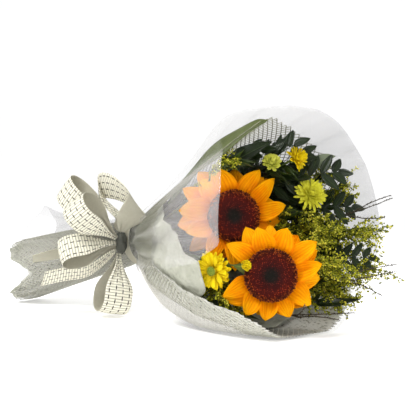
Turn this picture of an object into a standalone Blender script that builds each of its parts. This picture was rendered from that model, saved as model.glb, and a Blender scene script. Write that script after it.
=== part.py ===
"""A florist's bouquet lying on its side: two sunflowers, five spray chrysanthemums, goldenrod, fern-like
fronds, broad leaves and fine twigs, tied at the neck and rolled in paper, net and clear film, with a bow.

Everything is in metres. The bouquet's own directions are along its axis from the tie to the mouth,
across to its far side, and up. The neck is at zero along the axis and the cut ends are below it.
"""

import math
import random

import bmesh
import bpy
from mathutils import Matrix, Vector
from mathutils.bvhtree import BVHTree

# The wrap: a cone from the tie to the mouth, and a flattened tail round the cut ends
CONE_LENGTH = 0.283
MOUTH_RADIUS = 0.1376
CONE_SWELL = 0.85
TILT = math.radians(8)
TAIL_LENGTH = 0.225
TAIL_HALF_WIDTH = 0.060
TAIL_HALF_HEIGHT = 0.046
TAIL_SWAY = 0.037
TAIL_DROOP = 0.0245
BELLY = 0.040
BELLY_ANGLE = 243
SAG = 0.0075
SAG_ANGLE = 264
FILM_CORNER = 0.026
FILM_CORNER_ANGLE = 116
FILM_PEAK = 0.040
GROOVE = 0.013
GROOVE_ANGLE = 196
PLEATS = 8
PLEAT_DEPTH = 0.0015
COLUMNS = 32
WAIST = 0.012
LAYER = 0.001
NET_INSET = 0.0032
PAPER_INSET = 0.0064
CONTENTS_INSET = 0.0080
GAP = 0.0003

# Round the wrap in degrees, 0 on the far side, 90 on top, and how far up the axis its edge lies
FILM_RIM = ((0, 285), (45, 285), (60, 288), (85, 284), (100, 284), (108, 264), (116, 226), (125, 240),
            (142, 264), (165, 276), (186, 270), (196, 218), (203, 144), (210, 60), (216, 72), (226, 158),
            (238, 230), (250, 264), (270, 270), (295, 276), (330, 282))
NET_RIM = ((0, 250), (39, 257), (52, 249), (78, 254), (100, 270), (114, 286), (121, 218), (130, 168),
           (150, 98), (180, 93), (205, 93), (214, 150), (221, 205), (228, 240), (240, 258), (255, 266),
           (285, 276), (330, 268))
PAPER_RIM = ((0, 168), (45, 118), (90, 78), (135, 83), (160, 108), (172, 133), (182, 156), (192, 168),
             (199, 204), (214, 204), (228, 168), (245, 194), (270, 218), (300, 223), (330, 193))
TAIL_RIM = ((0, 222), (60, 218), (90, 214), (120, 210), (150, 196), (178, 180), (196, 172), (214, 190),
            (232, 214), (255, 222), (290, 225), (330, 224))
FILM_TAIL_RIM = ((0, 218), (45, 206), (75, 168), (105, 162), (125, 180), (150, 190), (178, 176), (196, 168),
                 (214, 186), (232, 210), (255, 218), (290, 221), (330, 220))

STEM_SPREAD = 0.14
STEM_GAP = 0.0005
TAIL_FAN = 0.5
BENDS = (0.008, 0.014, 0.020, 0.028, 0.036, 0.046, 0.056)
LOOSE = 0.030
BLADE = 0.0008

AXIS = Vector((math.cos(TILT), 0, math.sin(TILT)))
FAR = Vector((0, 1, 0))
UP = Vector((-math.sin(TILT), 0, math.cos(TILT)))
TIE = Vector((-0.130, 0, MOUTH_RADIUS * math.cos(TILT) - CONE_LENGTH * math.sin(TILT)))

placed = []
outer_sheet = []
neck = {"radius": 0.021}


def tail_drift(along):
    """How far the tail has swayed and drooped at this height, from 0 at the tie to 1 at its end."""
    return max(0.0, -along / TAIL_LENGTH) ** 1.3


def place(along, across, up):
    """The point this far along the axis, across and up. Below the tie the axis sways and droops."""
    drift = tail_drift(along)
    return TIE + AXIS * along + FAR * (across - TAIL_SWAY * drift) + UP * (up - TAIL_DROOP * drift)


def aim(along, across, up):
    return (AXIS * along + FAR * across + UP * up).normalized()


def lobe(angle, centre, width):
    """1 at the centre and fading to the sides, in degrees round the wrap."""
    off = (angle - centre + 180) % 360 - 180
    return math.exp(-((off / width) ** 2))


def rim(table, angle):
    """The height of a sheet's edge at this angle, in metres, smoothed between the table's points."""
    angle %= 360
    points = list(table) + [(table[0][0] + 360, table[0][1])]
    for (a, low), (b, high) in zip(points, points[1:]):
        if a <= angle <= b:
            share = (angle - a) / (b - a)
            return (low + (high - low) * share * share * (3 - 2 * share)) / 1000
    return table[0][1] / 1000


def wrap_reach(along, angle, film=False):
    """Half widths of the wrap across and up, at this height and angle, over a waist at the tie."""
    away = math.hypot(along, WAIST) - WAIST
    pleat = PLEAT_DEPTH * math.cos(math.radians(PLEATS * angle)) * math.exp(-((along / 0.05) ** 2))
    start = neck["radius"] + pleat
    if along >= 0:
        share = away / (math.hypot(CONE_LENGTH, WAIST) - WAIST)
        reach = start + (MOUTH_RADIUS - neck["radius"]) * share**CONE_SWELL
        belly = math.sin(math.pi * min(share, 1) ** 0.7) * min(1, max(0, along - BAND_WIDTH / 2) / 0.025)
        reach += BELLY * belly * lobe(angle, BELLY_ANGLE, 38) + SAG * share * lobe(angle, SAG_ANGLE, 32)
        if film:
            reach += FILM_CORNER * math.sin(math.pi * min(share, 1) ** 3) * lobe(angle, FILM_CORNER_ANGLE, 24)
        return reach, reach
    share = (away / (math.hypot(TAIL_LENGTH, WAIST) - WAIST)) ** 0.8
    peak = 0.0
    if film:
        rise = min(max((-along / TAIL_LENGTH - 0.2) / 0.55, 0), 1)
        peak = FILM_PEAK * rise * rise * lobe(angle, 98, 26)
    dent = GROOVE * share * lobe(angle, GROOVE_ANGLE, 20)
    return (
        start + (TAIL_HALF_WIDTH - neck["radius"]) * share - dent,
        start + (TAIL_HALF_HEIGHT - neck["radius"]) * share + peak,
    )


def wrap_point(along, angle, inset, film=False):
    """A point on a sheet of the wrap, this far in from its outer face and never below the table."""
    wide, high = wrap_reach(along, angle, film)
    turn = math.radians(angle)
    across = (wide - inset) * math.cos(turn)
    up = (high - inset) * math.sin(turn)
    table = TAIL_DROOP * tail_drift(along) - (TIE.z + along * math.sin(TILT)) / math.cos(TILT)
    spot = place(along, across, max(up, table + inset))
    if outer_sheet:
        core = place(along, 0, 0)
        way = (spot - core).normalized()
        hit = outer_sheet[0].ray_cast(core, way)
        if hit[0] is not None and hit[3] - (inset - LAYER) < (spot - core).length:
            return core + way * (hit[3] - (inset - LAYER))
    return spot


def inside(point, margin):
    """Whether a point of the contents keeps this far from the sheets round it."""
    off = point - TIE
    along, across, up = off.dot(AXIS), off.dot(FAR), off.dot(UP)
    if along < 0.02:
        return True
    angle = math.degrees(math.atan2(up, across)) % 360
    reach = wrap_reach(min(along, CONE_LENGTH), angle)[0] + max(0.0, along - CONE_LENGTH) * 0.35
    return math.hypot(across, up) < reach - CONTENTS_INSET - margin and point.z > CONTENTS_INSET + margin


def clear(points, radius):
    """Whether a line of points keeps clear of everything placed so far."""
    for a, b in zip(points, points[1:]):
        steps = max(1, int((b - a).length / max(radius * 0.8, 0.0012)))
        for step in range(steps):
            spot = a.lerp(b, (step + 1) / steps)
            for tree in placed:
                if tree.find_nearest(spot, radius + GAP)[0] is not None:
                    return False
    return True


# Solids


def paint(name, colour, roughness, metallic=0.0):
    material = bpy.data.materials.new(name)
    material.use_nodes = True
    shader = material.node_tree.nodes["Principled BSDF"]
    shader.inputs["Base Color"].default_value = (*colour, 1)
    shader.inputs["Roughness"].default_value = roughness
    shader.inputs["Metallic"].default_value = metallic
    material.diffuse_color = (*colour, 1)
    return material


def keep(name, points, faces, material):
    """A finished sub-part, remembered so that what comes later keeps clear of it."""
    mesh = bpy.data.meshes.new(name)
    mesh.from_pydata([tuple(p) for p in points], [], faces)
    mesh.update()
    made = bpy.data.objects.new(name, mesh)
    bpy.context.scene.collection.objects.link(made)
    made.data.materials.append(material)
    placed.append(BVHTree.FromPolygons([tuple(p) for p in points], faces))
    return made


def thicken(points, faces, thickness):
    """Both sides of a sheet of triangles and its edges, closed and split alike on both sides."""
    normals = [Vector() for _ in points]
    for a, b, c in faces:
        normal = (points[b] - points[a]).cross(points[c] - points[a])
        for corner in (a, b, c):
            normals[corner] += normal
    count = len(points)
    half = thickness / 2
    both = [p + n.normalized() * half for p, n in zip(points, normals)]
    both += [p - n.normalized() * half for p, n in zip(points, normals)]
    edges = {(f[i], f[(i + 1) % 3]) for f in faces for i in range(3)}
    closed = list(faces) + [(c + count, b + count, a + count) for a, b, c in faces]
    for a, b in sorted(edges):
        if (b, a) not in edges:
            closed += [(b, a, a + count), (b, a + count, b + count)]
    return both, closed


def strip(rows):
    """A sheet of triangles through rows of points, where the last row may be a single tip."""
    points = [p for row in rows for p in row]
    faces = []
    start = 0
    for row, after in zip(rows, rows[1:]):
        n = start + len(row)
        for i in range(len(row) - 1):
            if len(after) == 1:
                faces.append((start + i, n, start + i + 1))
            else:
                faces.append((start + i, n + i, n + i + 1))
                faces.append((start + i, n + i + 1, start + i + 1))
        start = n
    return points, faces


def tube(points, radii, sides):
    """A stem along a line of points, closed at both ends."""
    verts, faces = [], []
    side = None
    for i, point in enumerate(points):
        before = points[max(i - 1, 0)]
        after = points[min(i + 1, len(points) - 1)]
        ahead = (after - before).normalized()
        side = ahead.orthogonal() if side is None else side - ahead * side.dot(ahead)
        side.normalize()
        other = ahead.cross(side)
        for k in range(sides):
            turn = 2 * math.pi * k / sides
            verts.append(point + (side * math.cos(turn) + other * math.sin(turn)) * radii[i])
    for i in range(len(points) - 1):
        for k in range(sides):
            a, b = i * sides + k, i * sides + (k + 1) % sides
            faces += [(a, b, b + sides), (a, b + sides, a + sides)]
    last = (len(points) - 1) * sides
    for k in range(1, sides - 1):
        faces += [(0, k + 1, k), (last, last + k, last + k + 1)]
    return verts, faces


def lathe(spot, profile, sides, wobble=None):
    """A turned shape on a head's own frame, from points of radius and height, bottom first, closed."""
    verts, faces = [spot(0, 0, profile[0][1])], []
    for ring, (radius, height) in enumerate(profile):
        for k in range(sides):
            turn = 2 * math.pi * k / sides
            more = wobble(ring, k) if wobble else 0
            verts.append(spot(radius * math.cos(turn), radius * math.sin(turn), height + more))
    verts.append(spot(0, 0, profile[-1][1] - 0.0005))
    for k in range(sides):
        after = (k + 1) % sides
        faces.append((0, 1 + after, 1 + k))
        for ring in range(len(profile) - 1):
            a, b = 1 + ring * sides + k, 1 + ring * sides + after
            faces += [(a, b, b + sides), (a, b + sides, a + sides)]
        top = 1 + (len(profile) - 1) * sides
        faces.append((top + k, top + after, len(verts) - 1))
    return verts, faces


def fuse(name, shapes, material, solver="EXACT"):
    """One body from shapes that run into each other. The first is what the others grow from."""
    held = bpy.data.collections.new(name)
    made = []
    for points, faces in shapes:
        mesh = bpy.data.meshes.new(name)
        mesh.from_pydata([tuple(p) for p in points], [], faces)
        made.append(bpy.data.objects.new(name, mesh))
    bpy.context.scene.collection.objects.link(made[0])
    for one in made[1:]:
        held.objects.link(one)
    union = made[0].modifiers.new("union", "BOOLEAN")
    union.operation = "UNION"
    union.operand_type = "COLLECTION"
    union.collection = held
    union.solver = solver
    bpy.context.view_layer.update()
    seen = made[0].evaluated_get(bpy.context.evaluated_depsgraph_get())
    body = bmesh.new()
    body.from_mesh(seen.to_mesh())
    for one in made:
        mesh = one.data
        bpy.data.objects.remove(one)
        bpy.data.meshes.remove(mesh)
    bpy.data.collections.remove(held)
    bmesh.ops.remove_doubles(body, verts=body.verts, dist=0.000001)
    bmesh.ops.triangulate(body, faces=body.faces)
    drop_scraps(body)
    body.verts.index_update()
    points = [v.co.copy() for v in body.verts]
    faces = [tuple(v.index for v in f.verts) for f in body.faces]
    body.free()
    return keep(name, points, faces, material)


def drop_scraps(body):
    """Leaves only the largest connected body."""
    left = set(body.verts)
    groups = []
    while left:
        group, edge = set(), [left.pop()]
        while edge:
            vert = edge.pop()
            group.add(vert)
            for link in vert.link_edges:
                other = link.other_vert(vert)
                if other in left:
                    left.remove(other)
                    edge.append(other)
        groups.append(group)
    groups.sort(key=len)
    for group in groups[:-1]:
        bmesh.ops.delete(body, geom=list(group), context="VERTS")


# Stems: all go through the tie, each to its own head


HEADS = {}


def head(name, along, across, up, facing, radius):
    """Where a head or a leafy stem ends, in millimetres, which way it faces and how thick its stem is."""
    HEADS[name] = (along / 1000, across / 1000, up / 1000, aim(*facing), radius)


def pack_stems():
    """The stems drawn tight by the tie, each as near as it can be to the line towards its head."""
    spots, radii = [], []
    for along, across, up, _, radius in HEADS.values():
        scale = STEM_SPREAD / (STEM_SPREAD + (1 - STEM_SPREAD) * along / CONE_LENGTH)
        spots.append([across * scale, up * scale])
        radii.append(radius)
    for turn in range(900):
        if turn < 600:
            for spot in spots:
                spot[0] *= 0.99
                spot[1] *= 0.99
        for i, a in enumerate(spots):
            for j in range(i):
                b = spots[j]
                dx, dy = a[0] - b[0], a[1] - b[1]
                apart = math.hypot(dx, dy) or 1e-6
                short = radii[i] + radii[j] + STEM_GAP - apart
                if short > 0:
                    push = short / apart / 2
                    a[0] += dx * push
                    a[1] += dy * push
                    b[0] -= dx * push
                    b[1] -= dy * push
    return dict(zip(HEADS, spots))


def around(size, count=12):
    """Offsets of this size across the bouquet, evenly round."""
    return [(FAR * math.cos(math.tau * k / count) + UP * math.sin(math.tau * k / count)) * size
            for k in range(count)]


def route(name, slots, end, arrive, loose, steps=6):
    """A stem's line from its cut end through its slot in the tie to its head, bent clear of the others.

    Where no bend clears them, the end itself moves by up to the loose distance."""
    radius = HEADS[name][4]
    slot = slots[name]
    cut = TAIL_LENGTH * (0.66 + 0.12 * random.Random(name).random())
    tail = [place(-cut * s, *(v * (1 + TAIL_FAN * s) for v in slot)) for s in (1, 0.5)]
    start = place(0, *slot)
    bends = [Vector()] + [bend for size in BENDS for bend in around(size)]
    ends = [end] + [end + move for share in (0.3, 0.6, 1) for move in around(loose * share, 8) if loose]
    for goal in ends:
        line = goal - start
        for bend in bends:
            first = start + line * 0.35 + bend * 0.5
            second = goal - arrive * line.length * 0.28 + bend
            path = []
            for step in range(steps + 1):
                t = step / steps
                path.append(start * (1 - t) ** 3 + first * (3 * t * (1 - t) ** 2)
                            + second * (3 * t * t * (1 - t)) + goal * t**3)
            if clear(path, radius) and all(inside(p, radius) for p in path[2:-1]):
                return tail + path
    raise ValueError("no clear line for " + name)


def stem(name, slots, end, arrive, thin=1.0, sides=5, flare=(), loose=0):
    """A stem's tube, widened under its head by these radii, and the line that it follows."""
    radius = HEADS[name][4]
    path = route(name, slots, end, arrive, loose)
    radii = [radius * (1 + (thin - 1) * max(0, i - 2) / (len(path) - 3)) for i in range(len(path))]
    spots = list(path)
    for ahead, wide in flare:
        spots.append(end + arrive * ahead)
        radii.append(wide)
    return tube(spots, radii, sides), path


def rosette(spot, count, start, petal, thickness, skip=None):
    """A flower's layer in one thin sheet: petals that stand apart round a flat middle.

    petal(k) gives a petal's azimuth, its rows of (distance out, half width, height, keel) and whether
    it has a middle line."""
    points = [spot(0, 0, start)]
    faces = []
    roots = []
    for k in range(count):
        turn, rows, keeled = petal(k)
        ca, sa = math.cos(turn), math.sin(turn)
        line = []
        for out, half, height, keel in rows:
            row = []
            for side in ((-1, 0, 1) if keeled else (-1, 1)) if half else (0,):
                y = side * half
                row.append(spot(out * ca - y * sa, out * sa + y * ca, height - (0 if side else keel)))
            line.append(row)
        sheet, triangles = strip(line if not (skip and skip(k)) else line[:1])
        base = len(points)
        points += sheet
        faces += [(base + a, base + b, base + c) for a, b, c in triangles]
        wide = len(line[0])
        roots += [base + i for i in range(wide)]
    for i, a in enumerate(roots):
        faces.append((0, a, roots[(i + 1) % len(roots)]))
    return thicken(points, faces, thickness)


def head_frame(name):
    """A function from a head's own right, up and outward measures to a point."""
    along, across, up, facing, _ = HEADS[name]
    centre = place(along, across, up)
    right = UP.cross(facing).normalized()
    over = facing.cross(right)
    return lambda x, y, z: centre + right * x + over * y + facing * z


# The wrap

TAIL_SHARES = (1.0, 0.6, 0.2)
RING_HEIGHTS = (0, 0.007, 0.025, 0.055, 0.095)
MOUTH_SHARES = (0.5, 1)


def sheet_wall(name, edge, tail_edge, inset, material, film=False):
    """A sheet rolled round the bouquet, with a ragged edge at each end."""
    rings = []
    for share in TAIL_SHARES:
        rings.append([-share * rim(tail_edge, 360 * k / COLUMNS) for k in range(COLUMNS)])
    rings += [[height] * COLUMNS for height in RING_HEIGHTS]
    base = RING_HEIGHTS[-1]
    for share in MOUTH_SHARES:
        rings.append([base + share * (max(rim(edge, 360 * k / COLUMNS), base + 0.01) - base)
                      for k in range(COLUMNS)])
    verts, faces = [], []
    for depth in (inset, inset + LAYER):
        for ring in rings:
            verts += [wrap_point(ring[k], 360 * k / COLUMNS, depth, film) for k in range(COLUMNS)]
    inner = len(rings) * COLUMNS
    for row in range(len(rings) - 1):
        for k in range(COLUMNS):
            a, b = row * COLUMNS + k, row * COLUMNS + (k + 1) % COLUMNS
            c, d = b + COLUMNS, a + COLUMNS
            faces += [(a, b, c), (a, c, d)]
            faces += [(a + inner, c + inner, b + inner), (a + inner, d + inner, c + inner)]
    last = (len(rings) - 1) * COLUMNS
    for k in range(COLUMNS):
        a, b = k, (k + 1) % COLUMNS
        faces += [(a, b + inner, b), (a, a + inner, b + inner)]
        c, d = last + a, last + b
        faces += [(c, d + inner, c + inner), (c, d, d + inner)]
    return keep(name, verts, faces, material)


NET_START = 0.028
NET_ROW = 0.0247
NET_ROWS = 11
NET_STRAND = 0.0012


def net_wall(name, inset, material):
    """A net of diamond meshes, larger than life, that ends in whole meshes at its edge."""
    points = {}
    for row in range(NET_ROWS + 2):
        for column in range(COLUMNS):
            if (row + column) % 2 == 0:
                height = NET_START + NET_ROW * row
                points[column, row] = wrap_point(height, 360 * column / COLUMNS, inset)
    kept = set()
    for row in range(NET_ROWS):
        for column in range(COLUMNS):
            if (row + column) % 2:
                continue
            top = NET_START + NET_ROW * (row + 2)
            sides = ((column + 1) % COLUMNS, row - 1), ((column - 1) % COLUMNS, row - 1)
            held = row == 0 or all(side in kept for side in sides)
            if held and top <= rim(NET_RIM, 360 * column / COLUMNS) + NET_ROW / 2:
                kept.add((column, row))
    order = {}
    faces = []
    for column, row in sorted(kept):
        ring = ((column, row), ((column + 1) % COLUMNS, row + 1), (column, row + 2),
                ((column - 1) % COLUMNS, row + 1))
        faces.append(tuple(order.setdefault(corner, len(order)) for corner in ring))
    mesh = bpy.data.meshes.new(name)
    mesh.from_pydata([tuple(points[corner]) for corner in order], [], faces)
    made = bpy.data.objects.new(name, mesh)
    bpy.context.scene.collection.objects.link(made)
    wire = made.modifiers.new("strands", "WIREFRAME")
    wire.thickness = NET_STRAND
    wire.use_boundary = True
    wire.use_even_offset = False
    wire.use_replace = True
    wire.offset = 0
    made.data.materials.append(material)
    return made


def band(name, spot, radius, thick, width, sides, material, grow=None):
    """A flat ring round the neck, on a frame whose third measure runs along the neck."""
    verts, faces = [], []
    corners = ((0, -1), (thick, -1), (thick, 1), (0, 1))
    for k in range(sides):
        turn = math.tau * k / sides
        base = radius + (grow(turn) if grow else 0)
        for out, along in corners:
            reach = base + out
            verts.append(spot(reach * math.cos(turn), reach * math.sin(turn), along * width / 2))
    for k in range(sides):
        after = (k + 1) % sides
        for i in range(4):
            a, b = k * 4 + i, k * 4 + (i + 1) % 4
            c, d = after * 4 + (i + 1) % 4, after * 4 + i
            faces += [(a, c, b), (a, d, c)]
    return keep(name, verts, faces, material)


# Sunflowers

RAYS = 11
RAY_START = 0.024
PETAL_KEEL = 0.0014
DISC_PROFILE = ((22.5, 0.8), (30, 6.2), (32, 8.2), (29, 10.2), (24.5, 11.4), (20, 12.0), (15.5, 12.0),
                (11, 11.4), (7, 10.4), (3.5, 9.6))
DISC_SIDES = 16
SEED_HEIGHT = 0.0007
GAP_HALF = 21
BRACTS = 7
BRACT_HEIGHT = -0.0075
BRACT_THICK = 0.0012
BRACT_ROWS = ((0.015, 0.004, BRACT_HEIGHT, 0), (0.029, 0.0075, -0.0105, 0), (0.045, 0, -0.0135, 0))
CUP_BASE = -0.018
CUP = ((0.006, 0.007), (0.010, 0.013), (0.0172, 0.019))


def sunflower(name, gap_at, seed, paints):
    """Two layers of ray petals, broad, pointed and grooved, round a flat middle; and the seed disc on it.

    The front petals rise from the middle and the back ones lie lower between them."""
    draw = random.Random(seed)
    spot = head_frame(name)

    def petal(k):
        front = k % 2 == 0
        turn = math.tau * (k + draw.uniform(-0.16, 0.16)) / (2 * RAYS)
        length = draw.uniform(0.033, 0.039)
        half = draw.uniform(0.0092, 0.0106)
        rise = draw.uniform(0.012, 0.018) if front else draw.uniform(-0.009, -0.004)
        curl = draw.uniform(0.002, 0.009) if front else draw.uniform(0, 0.003)
        rows = []
        for along, share in ((0, 0.24), (0.42, 1), (0.78, 0.76), (1, 0)):
            rows.append((RAY_START + length * along, half * share, rise * along - curl * along**3,
                         PETAL_KEEL * math.sin(math.pi * along)))
        return turn, rows, True

    def in_gap(k):
        angle = 180 * k / RAYS
        return gap_at is not None and abs((angle - gap_at + 180) % 360 - 180) < GAP_HALF

    keep(name + "_petals", *rosette(spot, 2 * RAYS, 0, petal, BLADE, in_gap), paints["petal"])
    profile = [(r / 1000, z / 1000) for r, z in DISC_PROFILE]

    def seeds(ring, k):
        return SEED_HEIGHT * (1 if (ring + k) % 2 else -1) if 1 < ring < len(profile) - 1 else 0

    keep(name + "_disc", *lathe(spot, profile, DISC_SIDES, seeds), paints["disc"])


def sunflower_stem(name, slots, seed, paints):
    """The thick stem, flaring into the green cup with its pointed bracts under the petals."""
    draw = random.Random(seed)
    spot = head_frame(name)
    shape, _ = stem(name, slots, spot(0, 0, CUP_BASE), HEADS[name][3], 0.9, 6, CUP)

    def bract(k):
        return math.tau * (k + draw.uniform(-0.15, 0.15)) / BRACTS, BRACT_ROWS, False

    fuse(name + "_stem", [shape, rosette(spot, BRACTS, BRACT_HEIGHT, bract, BRACT_THICK)], paints["stem"])


# Chrysanthemums

MUM_CUP_BASE = -0.0086
MUM_STRAP_HALF = 0.0042


def mum(name, radius, core, layers, seed, material):
    """A bloom of strap petals in layers on a small core."""
    draw = random.Random(seed)
    spot = head_frame(name)
    top = core * (0.35 + 0.45 * (len(layers) - 1)) + 0.0012
    shapes = [lathe(spot, ((core * 0.55, -0.0012), (core * 0.55, top - 0.001), (core * 0.35, top)), 6)]
    shapes[0][0][-1] = spot(0, 0, top + 0.0003)
    for level, (count, elevation, reach) in enumerate(layers):
        floor = core * 0.45 * level

        def petal(k, count=count, elevation=elevation, reach=reach, floor=floor, level=level):
            turn = math.tau * (k + draw.uniform(-0.15, 0.15)) / count + 0.5 * level
            lift = math.radians(elevation + draw.uniform(-4, 4))
            length = radius * reach * draw.uniform(0.92, 1.0) - core
            half = min(MUM_STRAP_HALF, math.pi * radius * 0.62 / count)
            root = math.pi * core * 0.62 / count
            rows = []
            for along, wide in ((0, root), (0.62, half), (1, 0)):
                rows.append((core + length * along * math.cos(lift), wide,
                             floor + length * along * math.sin(lift) - radius * 0.10 * along**2, 0))
            return turn, rows, False

        shapes.append(rosette(spot, count, floor, petal, BLADE))
    fuse(name + "_bloom", shapes, material)


def mum_stem(name, slots, paints):
    """The slim stem, widening into the green cup that holds the petals."""
    radius = HEADS[name][4]
    spot = head_frame(name)
    cup = ((0.003, radius * 1.1), (0.0055, radius * 2.6), (0.0070, radius * 2.8))
    shape, _ = stem(name, slots, spot(0, 0, MUM_CUP_BASE), HEADS[name][3], 0.85, 4, cup)
    keep(name + "_stem", *shape, paints["stem"])


# Leaves

RIB_HALF = 0.0013
RIB_ROOM = 0.0018
FROND_GRIP = 0.004
LEAF_GRIP = 0.005


def frond(name, slots, tip, normal, pairs, leaflet, width, material):
    """A frond: leaflets cut to the rib in one thin arched blade, on its stalk."""
    along, across, up, facing, radius = HEADS[name]
    base = place(along, across, up)
    end = place(*(v / 1000 for v in tip))
    ahead = (end - base).normalized()
    tube_shape, path = stem(name, slots, base + ahead * FROND_GRIP, ahead, 0.9, 4, loose=LOOSE / 2)
    base = path[-1] - ahead * FROND_GRIP
    line = end - base
    flat = aim(*normal)
    flat = (flat - line.normalized() * flat.dot(line.normalized())).normalized()
    side = flat.cross(line).normalized()
    count = pairs * 2 + 1
    for arch in (0.10, 0.16, 0.04, 0.22, -0.04, 0.30, -0.12):
        rib = [base + line * (i / count) + flat * (arch * line.length * 4 * i / count * (1 - i / count))
               for i in range(count)]
        if clear(rib[1:] + [end], RIB_ROOM):
            break
    ahead = line.normalized()
    points, faces = [], []
    for i, spot in enumerate(rib):
        half = RIB_HALF * (1 - 0.6 * i / count)
        points += [spot - side * half, spot + side * half]
        if i:
            a = (i - 1) * 2
            faces += [(a, a + 1, a + 3), (a, a + 3, a + 2)]
    points.append(end)
    faces.append((len(points) - 3, len(points) - 2, len(points) - 1))
    for pair in range(pairs):
        low, high = pair * 2, pair * 2 + 1
        size = leaflet * (0.78 + 0.3 * math.sin(math.pi * (pair + 0.8) / (pairs + 0.6)))
        size *= 1 - 0.35 * max(0, pair - pairs + 2)
        for hand in (-1, 1):
            a, b = low * 2 + (hand > 0), high * 2 + (hand > 0)
            root = (points[a] + points[b]) / 2
            for attempt in range(9):
                out = (side * hand + ahead * (0.62 + 0.12 * attempt)).normalized()
                wide = (ahead - out * ahead.dot(out)).normalized() * width / 2
                reach = size * (1 - 0.06 * attempt)
                sag = flat * (-0.12 + 0.16 * attempt * (-1) ** attempt)
                c = root + out * reach * 0.45 - wide + sag * reach * 0.3
                e = root + out * reach * 0.45 + wide + sag * reach * 0.3
                d = root + out * reach + sag * reach
                if clear([root, c, d, e, root, d, c, e], BLADE) and inside(d, 0) and inside(e, 0):
                    break
            else:
                continue
            n = len(points)
            points += [c, e, d]
            new = [(a, n, n + 1), (a, n + 1, b), (n, n + 2, n + 1)]
            faces += new if hand > 0 else [(p, r, q) for p, q, r in new]
    blade = thicken(points, faces, BLADE)
    fuse(name, [tube_shape, blade], material)


def leaf(name, slots, spine, half_widths, normal, wave, material):
    """A plain leaf with a waved edge and a keeled middle, on its stalk."""
    flat = aim(*normal)
    ahead = (spine[1] - spine[0]).normalized()
    tube_shape, path = stem(name, slots, spine[0] + ahead * LEAF_GRIP, ahead, 0.9, 4, loose=LOOSE / 2)
    shift = path[-1] - ahead * LEAF_GRIP - spine[0]
    spine = [spot + shift * (1 - i / (len(spine) - 1)) for i, spot in enumerate(spine)]
    rows = []
    for i, (spot, half) in enumerate(zip(spine, half_widths)):
        ahead = (spine[min(i + 1, len(spine) - 1)] - spine[max(i - 1, 0)]).normalized()
        side = flat.cross(ahead).normalized()
        over = ahead.cross(side)
        if half == 0:
            rows.append([spot])
            continue
        ripple = wave * (1 if i % 2 else -1)
        rows.append([spot - side * half + over * ripple, spot - over * half * 0.16,
                     spot + side * half - over * ripple])
    points, faces = strip(rows)
    blade = thicken(points, faces, BLADE)
    fuse(name, [tube_shape, blade], material)


# Goldenrod and twigs

FLORETS = 3
FLORET_RADIUS = 0.0042
SHOOT_RADIUS = 0.0007
SHOOT_TURN = 2.4
TWIG_RADII = (0.0008, 0.0007, 0.0006, 0.0005)


def beads(line, thin, fat):
    """A side shoot and its florets: a three-sided shoot that swells at every second ring."""
    rings, radii = [], []
    count = 2 * FLORETS
    for i in range(count):
        t = i / (count - 1) * (len(line) - 1)
        k = min(int(t), len(line) - 2)
        rings.append(line[k].lerp(line[k + 1], t - k))
        radii.append(fat if i % 2 else thin)
    return tube(rings, radii, 3)


def goldenrod(name, slots, branches, reach, seed, lean, material):
    """A spray: side shoots arch away from the stem's upper part, each with florets along it."""
    draw = random.Random(seed)
    spot = head_frame(name)
    facing = HEADS[name][3]
    tube_shape, path = stem(name, slots, spot(0, 0, 0), facing, 0.6, 3, loose=LOOSE)
    shapes = [tube_shape]
    top, below = path[-1], path[-2]
    axis = (top - below).normalized()
    aside = axis.orthogonal().normalized()
    other = axis.cross(aside)
    nods = aim(*lean)
    for k in range(branches + 1):
        share = max(0, k - 0.5) / branches
        root = top.lerp(below, share * 2) if share < 0.5 else below.lerp(path[-3], share * 2 - 1)
        for attempt in range(16):
            turn = SHOOT_TURN * k + 0.4 * attempt + draw.uniform(-0.2, 0.2)
            outward = aside * math.cos(turn) + other * math.sin(turn)
            length = reach * (0.6 + 0.4 * share) * (1 - 0.035 * attempt)
            way = outward * 0.85 + axis * 0.55 if k else axis + outward * 0.08 * attempt
            ends = [root + way * length * part + nods * length * 0.25 * part * part
                    for part in (0, 0.35, 0.7, 1)]
            if clear(ends, FLORET_RADIUS) and all(inside(p, FLORET_RADIUS) for p in ends[1:]):
                shapes.append(beads(ends, SHOOT_RADIUS, FLORET_RADIUS * draw.uniform(0.85, 1)))
                break
    fuse(name, shapes, material)


def twig(name, slots, shoots, seed, material):
    """A wiry bare stem with finer side shoots, each thin as a wire."""
    facing = HEADS[name][3]
    spot = head_frame(name)
    tube_shape, path = stem(name, slots, spot(0, 0, 0), facing, 0.6, 3, loose=LOOSE)
    shapes = [tube_shape]
    draw = random.Random(seed)
    for share, (along, across, up) in shoots:
        root = path[-2].lerp(path[-1], share * 0.9)
        end = place(along / 1000, across / 1000, up / 1000)
        for attempt in range(30):
            jog = (FAR * draw.uniform(-1, 1) + UP * draw.uniform(-1, 1)) * (0.004 + 0.001 * attempt)
            shift = (FAR * draw.uniform(-1, 1) + UP * draw.uniform(-1, 1)) * 0.0006 * attempt
            goal = end + shift
            line = [root, root.lerp(goal, 0.35) + jog, root.lerp(goal, 0.7) + jog * 0.7, goal]
            if clear(line, TWIG_RADII[0]):
                shapes.append(tube(line, TWIG_RADII, 3))
                break
    fuse(name, shapes, material)


# The bow

RIBBON_WIDTH = 0.038
RIBBON_THICK = 0.0008
BAND_WIDTH = 0.012
BAND_SIDES = 16
TIE_THICK = 0.0012
TIE_WIDTH = 0.008
TIE_SIDES = 14
KNOT_RADIUS = 0.0068
KNOT_OUTLINE = ((0.004, -0.013), (KNOT_RADIUS, -0.007), (KNOT_RADIUS, 0.007), (0.004, 0.013))
LOOP_STEPS = 11
PINCHED = 0.16
PINCH_STEPS = 2.5
PINCH_SHARE = 0.2
BOW_RIGHT = Vector((math.sqrt(0.5), math.sqrt(0.5), 0))
BOW_OUT = Vector((math.sqrt(0.5), -math.sqrt(0.5), 0))
BOW_UP = Vector((0, 0, 1))


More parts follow.
